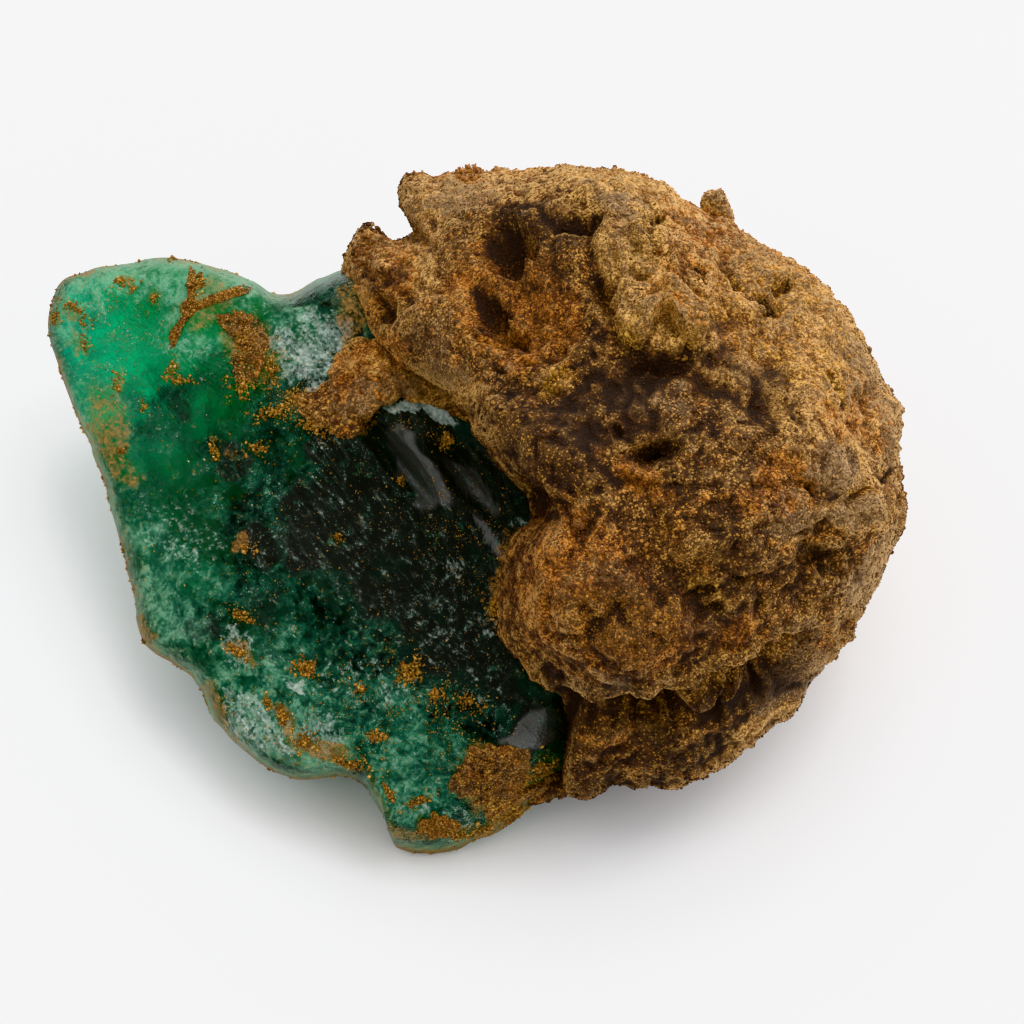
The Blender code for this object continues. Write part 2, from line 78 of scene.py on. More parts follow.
# The emerald's rim seen square on to the face, (a, b), anticlockwise from where it leaves the crust on top.
EMERALD_HEART = np.array((-9.5, -3.0))
EMERALD_RIM = (
    (-9.4, 19), (-14.9, 16.9), (-17.5, 17.9), (-21.8, 19.6), (-25.8, 19.8), (-31.4, 18.8), (-33.5, 16.6),
    (-33.6, 13.8), (-31.6, 8.4), (-29.4, 3.4), (-27.4, -2.5), (-26.2, -7.5), (-25, -10.6), (-21.4, -13.3),
    (-19.4, -16.6), (-14.4, -20.3), (-9.2, -20.4), (-7, -23.2), (-5.5, -25.9), (-0.6, -25.6), (3.4, -23.2),
    (8.5, -18), (12, -10), (13, 0), (10, 9), (2, 16.5),
)
RIM_CHIPS = {3.1: 0.22, 1.3: 0.12}  # size of the rim's small chips: how deep they bite
RIM_DROP = 0.33  # how fast the rim falls behind the face, for each millimetre up it
RIM_BEND = (-18.0, 2.0)  # b where that fall sets in, and how gently
RIM_ROUNDING = 0.7  # how far in from the rim the surface nears its full thickness
BURIED_ROUNDING = 4.0  # the same, added on the end that the crust hides
BURIED_SPAN = (4.0, 10.0)  # a over which that end begins
LOBE_ROUNDING = 2.6  # and added on the lower lobe, which slopes down to the table
LOBE_SPANS = ((-8.0, -3.0), (-21.0, -15.0))  # a over which the lobe begins, and b over which it ends
WEDGE_LEFT = -34.0  # the thin edge of the wedge
WEDGE_FRONT = (1.2, 0.24)  # thickness before the rim: at the thin edge, and gained for each millimetre right
WEDGE_BACK = (1.0, 0.30)
TABLE_EASE = 0.3  # how softly the underside flattens as it nears the table

# Dishes left by shell-like fracture: (a, b, half length, half width, turn, depth).
FRONT_DISHES = {
    "main_bowl": (-5.7, -4, 12, 8, -50, 2.4), "left_window": (-21, 4, 8.5, 6, -50, 1.3),
    "lower_left": (-15.6, -16, 7, 3.2, -38, 1.3), "foot_lobe": (-1.9, -20.6, 6.5, 4.5, 10, 1.5),
    "upper_flute": (-5.3, 2.8, 5.5, 1.6, -50, 3), "lower_flute": (-0.5, 2.1, 4.5, 1.6, -50, 2.6),
    "vein_step": (-17.8, 14.7, 4.5, 2.6, 25, 0.8), "corner": (-27.5, 13.4, 5.5, 4.5, 0, 0.7),
    "bright_chip": (5, -16.4, 3.8, 2.8, 25, 1.4), "left_edge": (-25.6, -4, 8, 2.6, -72, 0.8),
    "green_slope": (-12, -10, 7, 4.2, -50, 1.6), "frosted_shoulder": (-10.6, 12.8, 3.6, 2.2, 20, 0.9),
}
BACK_DISHES = {
    "upper": (-21, 9, 10, 8, 20, 2.2), "lower": (-14, -9, 10, 6, -40, 1.9), "right": (-5, 10, 9, 7, 60, 2.2),
    "left": (-25, -2, 7, 4.5, -70, 1), "shoulder": (-13, 15, 6, 3.6, 10, 1.6),
}
CRYSTAL_WAVES = {4.0: 0.16, 1.6: 0.07, 0.7: 0.025}  # size of the fracture faces' unevenness: its height
BERYL_IOR = 1.57
HACKLE_ZONES = (  # stepped ridges that fan out from a blow: (a, b, half length, half width, turn, strength)
    (-2.5, 2, 8, 5, -50, 1.4), (2.5, -15, 6.5, 3.6, 28, 1), (-13, -4, 9, 4.5, -62, 0.35),
    (-16, -16.5, 6, 3.4, -35, 0.5), (-13, 15.5, 5, 2, -20, 0.6),
)
HACKLE_TURN = -50.0  # the way the ridges run
HACKLE_SIZE = (7.0, 1.1)  # their length and spacing
HACKLE_HEIGHT = 0.35
HACKLE_STEPS = 3.0  # steps from a ridge's middle to its crest

# The crust: a blunt ball, drawn out sideways to its outline seen square on to the face, (a, b).
CRUST_HEART = np.array((12.0, 2.4, -0.4))
CRUST_RADII = np.array((21.5, 24.0, 18.0))
CRUST_BLUNTNESS = 2.4
CRUST_HUG = 0.65  # share of the rim's fall that the crust follows where it thins out over the crystal
CRUST_HUG_SPAN = (-6.0, 10.0)  # a over which it stops following
CRUST_OUTLINE = (
    (31.8, 3.6), (32.4, 7.6), (31.1, 9.4), (30.1, 12), (27.9, 15.9), (23.8, 19.5), (20.2, 21.9), (15.9, 24),
    (11.2, 25.6), (6, 26.1), (2, 26.4), (-5, 26.3), (-6.2, 24.4), (-4.7, 21.6), (-6.7, 21), (-8.3, 22.1),
    (-9.7, 20.2), (-10.3, 15.8), (-8.2, 12.6), (-5, 10.4), (-1.5, 8.2), (0.7, 4.6), (2.8, 2.3), (4.3, 0.7),
    (4.2, -0.9), (2.4, -2.8), (1.8, -9), (4.2, -12.4), (6.9, -15.6), (6.8, -21.1), (10.9, -20.6),
    (13.4, -20.2), (15.7, -20.2), (19.2, -18), (23.7, -14.8), (26.6, -11), (29.4, -6.9), (31.6, -2.9),
)
OUTLINE_BLUR = 14.0  # degrees over which the outline is averaged for the ball's general form
OUTLINE_CLING = 8  # a high power keeps the outline's own notches and horns close to it
RELIEF_FADE = (0.86, 1.0)  # shares of the way out to the outline over which lumps and pits die away

# Lumps and pits: (a, b, half length, half width, turn, height), a pit's height being negative.
CRUST_FRONT_RELIEF = {
    "nose_ridge": (12.2, 16.8, 7.5, 3.4, -76, 1.5), "nose_tip": (14.3, 11.9, 3.2, 2, -20, 0.9),
    "under_nose": (14.2, 9.2, 3.8, 1.7, -12, -0.5), "deep_pit": (2.3, 19.6, 2.9, 2.2, 0, -4.2),
    "granular_hollow": (3.6, 14.6, 5.2, 4.2, -35, -2.2), "crack": (0.6, 15, 3.6, 1.3, -78, -2.4),
    "nose_pit": (9, 16.6, 2.6, 1.4, -80, -0.6), "top_slot": (7.8, 20.6, 2.2, 0.9, 8, -1.6),
    "top_hole": (12.9, 20.6, 1.2, 1, 0, -1.3), "upper_left_lobe": (-2.9, 12.6, 4.6, 3.6, 30, 1.2),
    "horn_root": (-6.8, 17.2, 2.6, 2, 0, 1), "horn_hollow": (-6.6, 15, 1.5, 1.3, 0, -1.5),
    "brow": (4.6, 4.6, 7, 3, -38, 1.7), "lip_recess": (4.2, 0, 2.8, 2, -60, -2.4),
    "belly": (9.4, -7, 8, 5.2, -35, 1.9), "mid_hollow": (13.2, 4, 2.2, 1.2, 10, -1.6),
    "mid_lump": (19.5, -2, 6, 3.6, 25, 1.1), "right_shoulder": (24, 7, 5.5, 3.8, 70, 1.2),
    "right_hole": (21.9, 15.2, 1.5, 1.1, -50, -1.5), "right_ledge": (20, 15, 2.6, 1.2, -35, 0.9),
    "right_crease": (24.6, -3.4, 3.4, 1.1, -28, -0.8), "right_knuckle": (27, 0.4, 3.4, 2.6, 60, 1),
    "skirt_hollow": (13.2, -16.6, 3.4, 1.5, 0, -2), "skirt_step": (17.8, -14.9, 3.8, 1, 18, 1.4),
}
CRUST_BACK_RELIEF = {
    "back_lobe": (14, 12, 9, 7, 20, 1.8), "back_hollow": (24, 4, 6, 4, 60, -2),
    "back_pit": (6, 16, 3, 2.4, 0, -2.4), "back_rib": (4, 4, 8, 2.6, 75, 1.6),
    "back_cleft": (16, 1, 7, 1.6, 35, -2), "back_knuckle": (25, 14, 4, 3, -40, 1.4),
}
CRUST_LUMPS = {9.0: 0.9, 4.5: 0.5}  # size of the natural unevenness: its height

# Small forms of the front, too fine for the solids.
CRUST_FINE_RELIEF = (
    (13.3, 15.9, 4.6, 4.2, 0, -1.05), (20.7, -13.4, 1.6, 0.7, 30, -1.5), (-3.3, 24.1, 1.7, 0.7, 8, 0.5),
    (-3.9, 22.4, 0.6, 0.7, 0, -0.6), (-1.3, 22.5, 2.3, 0.4, 4, -0.5), (-0.4, 24.5, 2.6, 0.5, 4, 0.35),
    (2.5, 21.5, 1.5, 1.4, 0, -3), (3.2, 18.8, 1.9, 0.8, -25, 1.2), (1.2, 15.6, 0.8, 0.7, 0, 1.1),
    (0.8, 13, 0.8, 0.5, 20, 1), (15.8, 17.8, 6, 3.6, -62, 1.2), (13.6, 14.6, 2.8, 2, -40, 0.2),
    (12.5, 18.5, 1.1, 0.7, -50, 0.8), (11.2, 15.9, 0.9, 0.9, 0, 0.7), (14.8, 15.4, 1.2, 0.7, -45, 0.7),
    (12.6, 16.9, 1, 0.3, -20, -0.9), (3.4, 19.7, 1.2, 0.5, -35, 0.5), (0.2, 20.4, 1.1, 0.8, -20, 0.5),
    (8.7, 23.1, 1.7, 0.5, -4, 0.6), (4.2, 18.3, 1.5, 0.5, -60, 0.6), (1.7, 18.7, 0.8, 0.5, 20, 0.5),
    (5.5, 20.4, 0.8, 0.5, -50, 0.4), (-7.8, 20.9, 0.6, 0.4, 25, 0.6), (0.5, 16.5, 0.4, 0.9, 5, -1.3),
    (2.1, 14.4, 0.8, 0.6, 10, -1.7), (0, 13.4, 0.9, 0.5, -35, -1.5), (1.4, 15.6, 0.6, 0.4, -40, 0.6),
    (0.2, 14.5, 0.8, 0.3, -20, 0.6), (1.7, 10.9, 0.6, 0.3, -20, -0.8), (7, 18.7, 0.6, 0.6, 0, 0.9),
    (7.1, 17.8, 0.5, 0.3, 0, -0.5), (5.5, 16.1, 0.5, 0.5, 0, 0.7), (9.4, 17.4, 0.6, 1.3, 10, -0.75),
    (10.5, 23.4, 1.4, 0.6, -25, 0.7), (10, 21.3, 1.1, 0.7, -30, 0.5), (14, 21.9, 0.5, 0.6, 0, -1.5),
    (13.3, 22.5, 0.8, 0.3, -40, 0.5), (11.5, 17.7, 0.5, 0.5, 0, 0.5), (15, 17.3, 0.5, 0.4, 0, 0.5),
    (13.7, 15.9, 1.2, 0.3, -50, -0.2), (17.1, 17.4, 1.4, 0.3, -50, -0.5), (16.5, 13, 0.8, 0.5, -20, 1.1),
    (15.6, 12.5, 0.9, 0.4, 0, 0.8), (12.8, 13.4, 0.9, 0.6, -30, 0.7), (14.6, 11.2, 1.9, 0.9, -5, -1.1),
    (12.4, 10.9, 1.5, 0.6, 15, -0.6), (22.2, 15.9, 1.1, 0.5, -35, 1), (23.4, 16.8, 0.9, 0.5, -50, -1.5),
    (21.8, 14.8, 0.5, 0.4, -20, -0.8), (22.4, 13, 0.6, 0.5, 0, 0.6), (19.7, 15.1, 0.9, 0.5, -40, 0.4),
    (19.7, 17.8, 1.7, 0.4, -45, -0.6), (23.9, 10.4, 0.9, 0.5, -30, 0.5), (27.1, 8.9, 1.7, 0.4, -60, -0.8),
    (29.8, 12.1, 1.1, 0.3, -60, -0.5), (30.1, 8.9, 0.6, 0.6, 0, -0.6), (26.8, 3, 1.3, 1.8, -10, 0.9),
    (28.6, 0.3, 1.4, 1, 25, 0.8), (25.6, -0.2, 1.2, 0.7, 20, 0.6), (30, -1.6, 1.2, 0.8, 40, 0.7),
    (27.9, 1.3, 1.4, 0.3, 30, -0.8), (25, 1.4, 1.2, 0.4, -15, -0.8), (26.3, -3.6, 2.1, 0.5, 20, -0.6),
    (26.3, -2.6, 2, 0.5, 20, 0.7), (23.9, -1.6, 1.4, 0.3, 10, -0.6), (31.7, 5.2, 0.7, 2.1, 0, 0.5),
    (31.1, 2.4, 1.1, 0.4, 50, -0.9), (13.8, 4.1, 1, 0.5, 12, -1.5), (12.5, 2.7, 2, 0.6, -22, 0.8),
    (16.3, 5.2, 1.5, 0.5, 15, 0.4), (10.8, 5.8, 0.8, 0.6, 0, -0.7), (6.1, 9.8, 1.5, 0.8, 0, 0.5),
    (6.5, 1.2, 2, 0.5, -22, 0.5), (4.9, 4.9, 6.4, 2.8, -38, -0.9), (2.2, 7.6, 1.6, 1, -40, 0.5),
    (6.4, 4.2, 1.4, 1, -20, 0.5), (19.6, -9.5, 1.1, 0.5, 30, 0.6), (18.3, -7.8, 1.1, 0.5, 25, -0.6),
    (12.5, -3.9, 1.5, 0.6, 15, -0.5), (20.5, -5, 1.7, 0.5, 12, -0.6), (17.1, -6.3, 1.8, 0.5, 12, -0.5),
    (9.5, -1.6, 1.7, 1.2, 20, 0.4), (4.9, -6.9, 1.2, 1.8, 10, 0.5), (17.1, -2.4, 2, 1.1, 15, 0.4),
    (11, -8.4, 2, 1.2, 0, 0.4), (8.7, -14.1, 1.4, 0.5, 5, 0.5), (13.3, -13.7, 1.5, 0.5, 5, 0.4),
    (14.6, -14.5, 0.9, 0.5, 0, -0.9), (22.5, -13.6, 0.5, 0.5, 0, -1.4), (22.2, -14.7, 0.5, 0.4, 0, -1.1),
    (14.6, -15.3, 2.3, 0.5, 4, 1.1), (17.6, -14.4, 2.6, 0.7, 22, -1.7), (13.5, -17.6, 3.2, 1.1, 4, -2.2),
    (9.5, -19.1, 2.6, 0.5, 25, 0.6), (24.7, -12.1, 2, 0.6, 50, 0.6), (19.7, -15.4, 2, 0.5, 40, -0.9),
    (19.4, -17.4, 1.4, 0.8, 40, 0.7), (9.4, -15.4, 2.4, 0.5, 5, -1.2), (-7.2, 12.4, 0.9, 1.1, 30, 0.5),
    (-5.7, 15.5, 1.2, 1.1, 0, 0.6), (-7.8, 15.9, 0.6, 0.5, 0, -0.7), (-6.1, 13.6, 0.6, 0.4, 0, -0.4),
    (-6.5, 9.9, 1.1, 0.8, 0, 0.3), (3.4, 11.9, 1.1, 0.5, -20, -0.7),
)
NOSE_OUTLINE = (  # the overhanging nose, a slab that thickens towards its foot
    (9.5, 23), (9.4, 20.8), (10.2, 19.3), (10.9, 18), (10.8, 15.6), (10.4, 14), (11.2, 12.4), (12.2, 11.9),
    (13.1, 12.2), (13.8, 13.5), (14.7, 13.5), (15.3, 12.7), (16.2, 11.8), (17.2, 12.2), (16.8, 13.1),
    (18, 13.7), (17.4, 14.5), (16.4, 15.6), (15.1, 17.5), (13.9, 19.7), (12.6, 21.8), (11.4, 23.4),
)
NOSE_HEART = np.array((13.2, 16.0))
NOSE_HEIGHT = 1.9
NOSE_RAMP = (20.6, 12.4)  # b over which it thickens
NOSE_EDGE = (0.86, 1.0)  # shares of the way out over which it ends
RELIEF_FRAY = {2.2: 0.45, 0.9: 0.30}  # size of the raggedness of the lumps' and pits' outlines: its depth
CLUMPS = {2.4: 0.30, 1.1: 0.22}  # size of the soil's round clumps where it is crumbly: their height
CRUMBS = {1.7: 0.34, 0.85: 0.30, 0.45: 0.20}  # size of the rough crumbs between them: their height
CRUMB_BEND = {1.5: 0.6}  # size of the waves that bend the crumbs: how far
NOISE_DEPTH = 0.5  # below 1, the lumps are drawn out behind the face, so that its steep sides show whole ones
SMOOTH_SHARE = 0.35  # share of both that is left where the soil is compact
DARK_PITS = (0.5, 0.8)  # pits steeper than the first, in depth over half width, get painted shade by the second

# The crust overhangs a recessed skirt under a ledge, a line of (a, b) points from the crystal to the right.
LEDGE_LINE = (
    (3, -12.4), (7.4, -13.6), (11.7, -14), (15.3, -13.2), (19, -11.9), (23.3, -9.4), (29.5, -7),
)
LEDGE_DEPTH = 4.2
LEDGE_LIP = (-0.4, 1.2)  # how far above and below the line the lip turns in
SKIRT_RETURN = (1.4, 5.0, 0.55)  # how far below it the skirt comes out again, and by what share of the depth

# Soil stuck to the emerald: its outline on the face, (a, b), its greatest thickness, and its middle.
PATCH_LUMPS = {1.3: 0.16, 0.55: 0.22, 0.3: 0.16}  # size of the lumps on a patch: their height
PATCH_EDGE = 0.05  # a patch's thickness at its edge, as a share of its greatest
PATCH_FRAY = {1.4: 0.40, 0.5: 0.35, 0.25: 0.18}  # size of the notches in a patch's outline: their depth
PATCH_SINK = 0.12  # how far soil reaches into the crystal's surface, so that no gap shows under it
SOIL_PATCHES = {
    "soil_vein": ((
        (-21.9, 17), (-21.95, 15.6), (-22.5, 14.4), (-23.1, 13.4), (-23.2, 12.4), (-22.8, 12.3),
        (-22.6, 13.3), (-21.9, 14.3), (-20.9, 15), (-19.6, 15.6), (-18.2, 16.2), (-17.2, 16.4), (-17.3, 16.9),
        (-18.6, 16.8), (-19.8, 16.3), (-21, 15.8), (-21.25, 16.6), (-21.3, 18.2), (-21.7, 18.4),
    ), 0.28, (-21.6, 15.1)),
    "soil_upper_patch": ((
        (-16, 13.6), (-17.6, 14.6), (-19.6, 15.1), (-19.7, 14.3), (-18.5, 13), (-18.4, 11.2), (-18.3, 9.8),
        (-17.2, 9.4), (-16.2, 10.4), (-15.6, 12.2),
    ), 0.22, (-17.2, 12.3)),
    "soil_tip_patch": ((
        (-1.1, -23.6), (-2.9, -23.2), (-4.5, -23.7), (-4.6, -24.6), (-3.2, -24.8), (-1.2, -24.5),
    ), 0.35, (-3, -23.8)),
    "soil_lower_patch": ((
        (3.6, -18.2), (1.2, -17.9), (-0.6, -18.1), (-1.9, -20.2), (-1.2, -21.9), (0.6, -22.8), (1, -24.2),
        (2.9, -22.9), (4.2, -20.8),
    ), 0.45, (1.2, -20.4)),
}
SOIL_TOE = ((  # where the clod's recessed skirt runs out over the crystal
    (10.8, -20.6), (9.8, -19.3), (7.8, -19.5), (6, -20.1), (4.6, -20.8), (3.4, -21.6), (4.6, -22.3),
    (6.4, -21.9), (8.6, -21.3),
), 1.8, (7.4, -20.7))
SOIL_TONGUE = ((  # soil from the clod over the crystal, higher up
    (1, 6), (-0.8, 9.9), (-6.8, 12.8), (-10.2, 12.4), (-12, 9), (-13.6, 8.6), (-12.9, 6.6), (-11.4, 5.9),
    (-9.6, 5.3), (-8.2, 6.5), (-7.2, 7.6), (-4.6, 8), (-2.4, 7.5), (-0.6, 6.6),
), 0.9, (-5.6, 9.6))

# A small finger of soil on the crust's upper right shoulder: (a, b, c), half sizes, and its turn about c.
KNOB_CENTRE = np.array((18.7, 22.4, -4.6))
KNOB_RADII = np.array((1.15, 2.2, 1.2))
KNOB_TURN = 12.0

# How far the zones' edges and the pits' shade stray from their places: size of the noise: distance.
SOIL_STRAY = {2.5: 0.8}
PIT_STRAY = {0.7: 0.35}
SKIN_STRAY = {2.2: 0.7, 0.8: 0.35}
DEEP_STRAY = {4.0: 2.2}
BEHIND_SHARE = 0.35  # how strongly the front's zones still hold behind
BEHIND_SPAN = (-8.0, 2.0)  # c over which they gain their full strength
EDGE_STAIN = (0.3, 1.3)  # how far in the rim's stain reaches all round, and its fringe in front
EDGE_HAZE = 1.8  # and the rim's haze
EDGE_PATCHES = {3.0: 0.7, 0.9: 0.7}  # size of the rim's stained stretches: their strength

# Where the soil's colour and grain change, and its painted shade and light: (a, b, half length, half width,
# turn, strength).
RUST_ZONES = (
    (9.8, -17.4, 3.6, 1.6, 5, 0.5), (14, 16.8, 3, 1.7, -50, 0.8), (22, 16, 10, 6, -48, 0.55),
    (26.5, 9.5, 6, 1.6, -60, 0.8), (17, 21, 5, 1.6, -38, 0.8), (12, -9.5, 7, 4, 0, 0.7),
    (3, 15.5, 6.5, 5.2, -40, 1), (-7.5, 10.5, 3.4, 3.6, 60, 0.8), (-7, 18, 3, 3.5, 0, 0.8),
    (7.5, -5.5, 8.5, 6.5, -35, 0.75), (19.6, -9.2, 2.6, 1.3, 30, 1), (15, 17, 4, 2.2, -50, 0.7),
    (29.5, 7, 4.5, 2.4, -65, 0.6), (23, 1.5, 4, 3, 30, 0.6), (12.5, 2.4, 3.4, 1.6, -25, 0.8),
    (19, 20.5, 6, 2.4, -40, 0.5),
)
CLAY_ZONES = (
    (-8.5, 8.6, 3.2, 1.6, -14, 0.8), (23, 14.5, 11, 7, -48, 0.4), (29.5, 10, 5, 1.6, -62, 0.7),
    (-2, 23.8, 5, 1.4, 4, 0.8), (11.6, 18.6, 5, 1.4, -78, 0.4), (-4, 9.6, 5, 1.8, 9, 0.8),
    (11, 22.8, 2.6, 1.2, -30, 0.8), (-3.6, 12.6, 2, 2.4, 30, 0.5), (7.5, 6.8, 5, 2.4, -30, 0.4),
    (27, 3.2, 1.9, 3.2, -12, 0.95), (28.8, -0.2, 2.4, 1.6, 20, 0.7), (24.5, -1, 3.6, 1.2, 15, 0.6),
    (31.2, 5.5, 1.4, 3.4, 0, 0.8), (29.8, -4.8, 1.8, 5, -25, 0.7), (9, -13.2, 4, 1.2, 5, 0.7),
    (18, -8.6, 3, 1.6, 25, 0.6), (24, -12.5, 6, 1.8, 48, 0.7), (13, 8.5, 5, 2, 10, 0.4),
    (17, 22, 5, 1.2, -32, 0.5),
)
# Pale dry soil, and light painted on the clod's rims and on some dim slopes.
PALE_ZONES = (
    (-4.8, 18.7, 4.8, 1.9, -37, 0.7), (30.7, 6.6, 2.7, 1.9, -75, 0.8), (26.6, 14.2, 13.5, 2.6, -50, 0.8),
    (14.4, 16.4, 7.6, 2.6, -41, 1), (16.3, 14.1, 3.5, 1.7, -11, 0.8), (-5.3, 21.6, 6.5, 2.4, 42, 0.8),
    (-7, 10.6, 3.4, 1.4, -20, 0.7), (22, 14, 13, 8.5, -48, 0.5), (-4.6, 8.6, 6.5, 2.4, 9, 0.75),
    (12.6, 17, 5.6, 2.6, -72, 0.6), (11.8, 24.4, 8.8, 1.6, -14, 1.2), (29.3, -5.3, 6.4, 1.5, 62, 0.4),
    (22.6, -16.6, 5, 0.7, 38, 0.5), (19.5, -18.2, 4, 1, 40, 0.4), (28.5, 5, 5.5, 8, 0, 0.45),
    (10, 24.5, 14, 3, -6, 0.65), (15.6, 12.8, 2.6, 1.2, -20, 1), (-3.5, 24, 4, 2, 0, 0.5),
)
GOLD_ZONES = (
    (11.9, 13.4, 1.5, 2.2, 10, 1), (16.5, 11.6, 1.8, 1, 0, 0.5), (23.5, 14, 9, 5, -48, 0.5),
    (6.1, 9.7, 1.9, 1, 8, 1), (3.5, 6, 2.6, 1, 30, 0.5), (-2, 5.6, 0.9, 0.8, 0, 1), (27, 9.4, 3, 1, -50, 0.9),
    (23.6, 11.2, 2.6, 1.2, -30, 0.7), (11, -8.6, 5.5, 3.4, 0, 0.6), (17.6, -6.4, 2, 1.1, 0, 0.8),
    (13.6, 21, 2, 1.4, 0, 0.7),
)
# Painted shade: the soil darkened under the ledge, in pits and hollows, and over the clod's middle.
SHADE_ZONES = (
    (7.4, -17.8, 1.4, 3.4, 6, 1.1), (7.4, -15.3, 5.3, 1.7, -59, 1.2), (14.3, 1.4, 2.6, 1.4, 60, 0.8),
    (13.6, -9, 9.3, 3.6, -52, 0.75), (5, -3.2, 10.8, 3.4, 73, 0.5), (5, 20, 6.2, 3, 57, 0.75),
    (6.5, -19.3, 10.8, 3.1, 14, 0.6), (8.7, 12.7, 2.6, 1.5, 75, 0.8), (2.4, 7.6, 3.6, 1.5, 6, 0.85),
    (22.2, -13.9, 1.2, 1.2, 0, 1.3), (3, -4.4, 4.5, 1.6, 63, 0.7), (18.6, -2.2, 1.7, 1.2, -13, 1),
    (1.9, 16, 3.2, 1.7, 31, 0.6), (-7.3, 17.8, 2.6, 2.4, 0, 0.7), (13.5, -17.4, 3.4, 1.2, 4, 1.3),
    (23.7, -4.4, 6.5, 2.4, -13, 0.5), (15.5, -17, 15, 4.6, 22, 1), (2.4, 21.4, 1.7, 1.7, 0, 1.3),
    (14.2, 11.2, 3.2, 1.2, -5, 0.9), (13, -2.8, 17, 12, 73, 0.42), (6.3, 4, 6.6, 4.2, -14, 0.85),
    (12.2, -11, 9.5, 5.8, 80, 0.75), (20.6, 8.8, 6.6, 2.9, -32, 0.7), (19.7, -3.4, 4, 2.4, -27, 0.75),
    (5.6, 21.7, 3.8, 2.6, 11, 0.9), (11.3, -17.6, 6.1, 2.3, -6, 0.9), (18, -14.8, 2.2, 1.3, -49, 1.3),
    (17.1, -11.1, 1.6, 1.1, -27, 0.6), (13.9, 12.3, 1.4, 1, 17, 0.6), (28, -0.4, 1.9, 0.9, 16, 0.5),
    (2.4, -6.4, 1.4, 1.8, -89, 0.7), (11.5, 8, 8.5, 4.4, -10, 0.85), (3.6, 7.4, 6, 4.4, -35, 0.5),
    (-6, 13.2, 3.4, 4.2, 20, 0.65), (8, -7, 9, 7, -20, 0.3), (9, -13.4, 8, 2, 8, 0.45),
    (17, -8, 8, 4.4, 20, 0.55), (22, 8.4, 4, 3, -30, 0.4), (18, 3.4, 4, 2.4, 20, 0.35),
    (8.5, 22.6, 6, 1.6, 4, 0.45), (8.7, 21.8, 2.2, 0.9, -6, 0.8), (-7.3, 17.3, 2, 1.3, -8, 0.95),
    (5.2, 0.2, 2, 1.2, -40, 1),
)

BRIGHT_ZONES = (  # and where the painted shade is taken off within them
    (10.6, -16.9, 5.2, 0.45, 7, 0.55), (10.4, -18.5, 4.6, 0.5, 11, 0.5), (16.4, -17.2, 3.6, 0.4, 18, 0.6),
    (12.6, -19.9, 4.6, 0.5, 9, 0.6), (4.3, -20.3, 4.2, 2.2, -3, 0.6), (5.8, -4.8, 5.2, 1.6, 54, 0.8),
    (15, -13.7, 4.3, 2.4, 88, 0.4), (22.4, -15.9, 5.4, 0.7, 38, 0.7), (2.6, 19.2, 2.6, 1.1, -20, 0.6),
    (14.4, 16.6, 7.6, 2.8, -41, 1), (10.6, 3.3, 3.4, 0.9, -42, 0.9), (8.9, -12.6, 1.8, 1.1, -83, 0.8),
    (26, 13.4, 13.7, 3.2, -50, 0.9), (13, 16.5, 5.6, 3.4, -72, 0.9), (7.4, 15.2, 1.6, 1.6, 0, 0.5),
    (13.1, -0.8, 4.8, 2.6, -63, 0.9), (14.8, -3.2, 4, 2.6, -60, 0.7), (-0.2, 9.9, 4.2, 2.3, 75, 0.85),
    (-5.6, 14.6, 4.8, 1.7, 28, 0.85), (15.6, 8, 2.3, 1.8, -33, 0.9), (6, 9.6, 2.8, 1.5, -10, 1),
    (22.5, -7, 1.7, 1.5, 23, 0.8), (21.9, 3.2, 3, 1.4, -67, 0.9), (26.5, -3.7, 3.4, 1.2, -16, 0.8),
    (0.3, 10.9, 2.8, 1.4, -37, 0.9),
)

# Where the crystal's skin changes: milky haze, white frost, brown stain, and glossy faces with a painted grey
# reflection.
HAZE_ZONES = (
    (-12.4, -18.6, 5.1, 2.5, -18, 0.9), (-18.8, -12.8, 2.4, 1.9, -89, 0.75),
    (-24.2, -3.8, 5.8, 1.5, -50, 0.65), (-13.4, -14.2, 8.4, 5.6, -40, 0.45), (-20.9, 13.9, 5, 4.2, 50, 0.55),
    (-22.5, -4.3, 7, 2.3, -39, 0.45), (-24, 17.6, 10.5, 2.8, -4, 0.95), (-31, 15, 3.4, 4.4, 0, 0.75),
    (-28, 6, 3, 7, 20, 0.5), (-13.5, 12.5, 4.5, 3.6, 20, 0.6), (-23.2, -7, 2.6, 5.5, 28, 0.7),
    (-18.6, -11.6, 3, 1.2, -39, 0.7), (-14.5, -17, 6.5, 3.2, -30, 0.8), (-4.5, -20, 5, 5, 0, 0.6),
    (-8, -14.5, 7, 3.4, -25, 0.45),
)
FROST_ZONES = (
    (0.7, -13.6, 4.4, 2, -81, 0.35), (-3, -5.5, 4.2, 2.1, 32, 0.38), (-10, -3, 11, 10, -40, 0.2),
    (-2, -23.2, 2.8, 1.6, -17, 0.5), (-12.2, 12.4, 4.2, 2.6, 35, 0.95), (-10.6, 8.8, 3, 2, -30, 0.7),
    (-4.3, 7.5, 3.1, 0.8, -6, 2.6), (-16.4, -16.4, 4.2, 2.4, -35, 0.8), (-12, -17.5, 2.6, 1.6, 10, 0.7),
    (-8, -13, 6, 2.6, -15, 0.4), (-13.5, -13.6, 1.1, 0.45, -35, 1), (3.7, -1, 1.6, 0.9, -25, 0.9),
    (-22, -2.5, 4, 3, 0, 0.4), (-18.4, -10.6, 1.6, 2.4, 10, 0.7), (-1, -9, 5, 4, 0, 0.3),
)
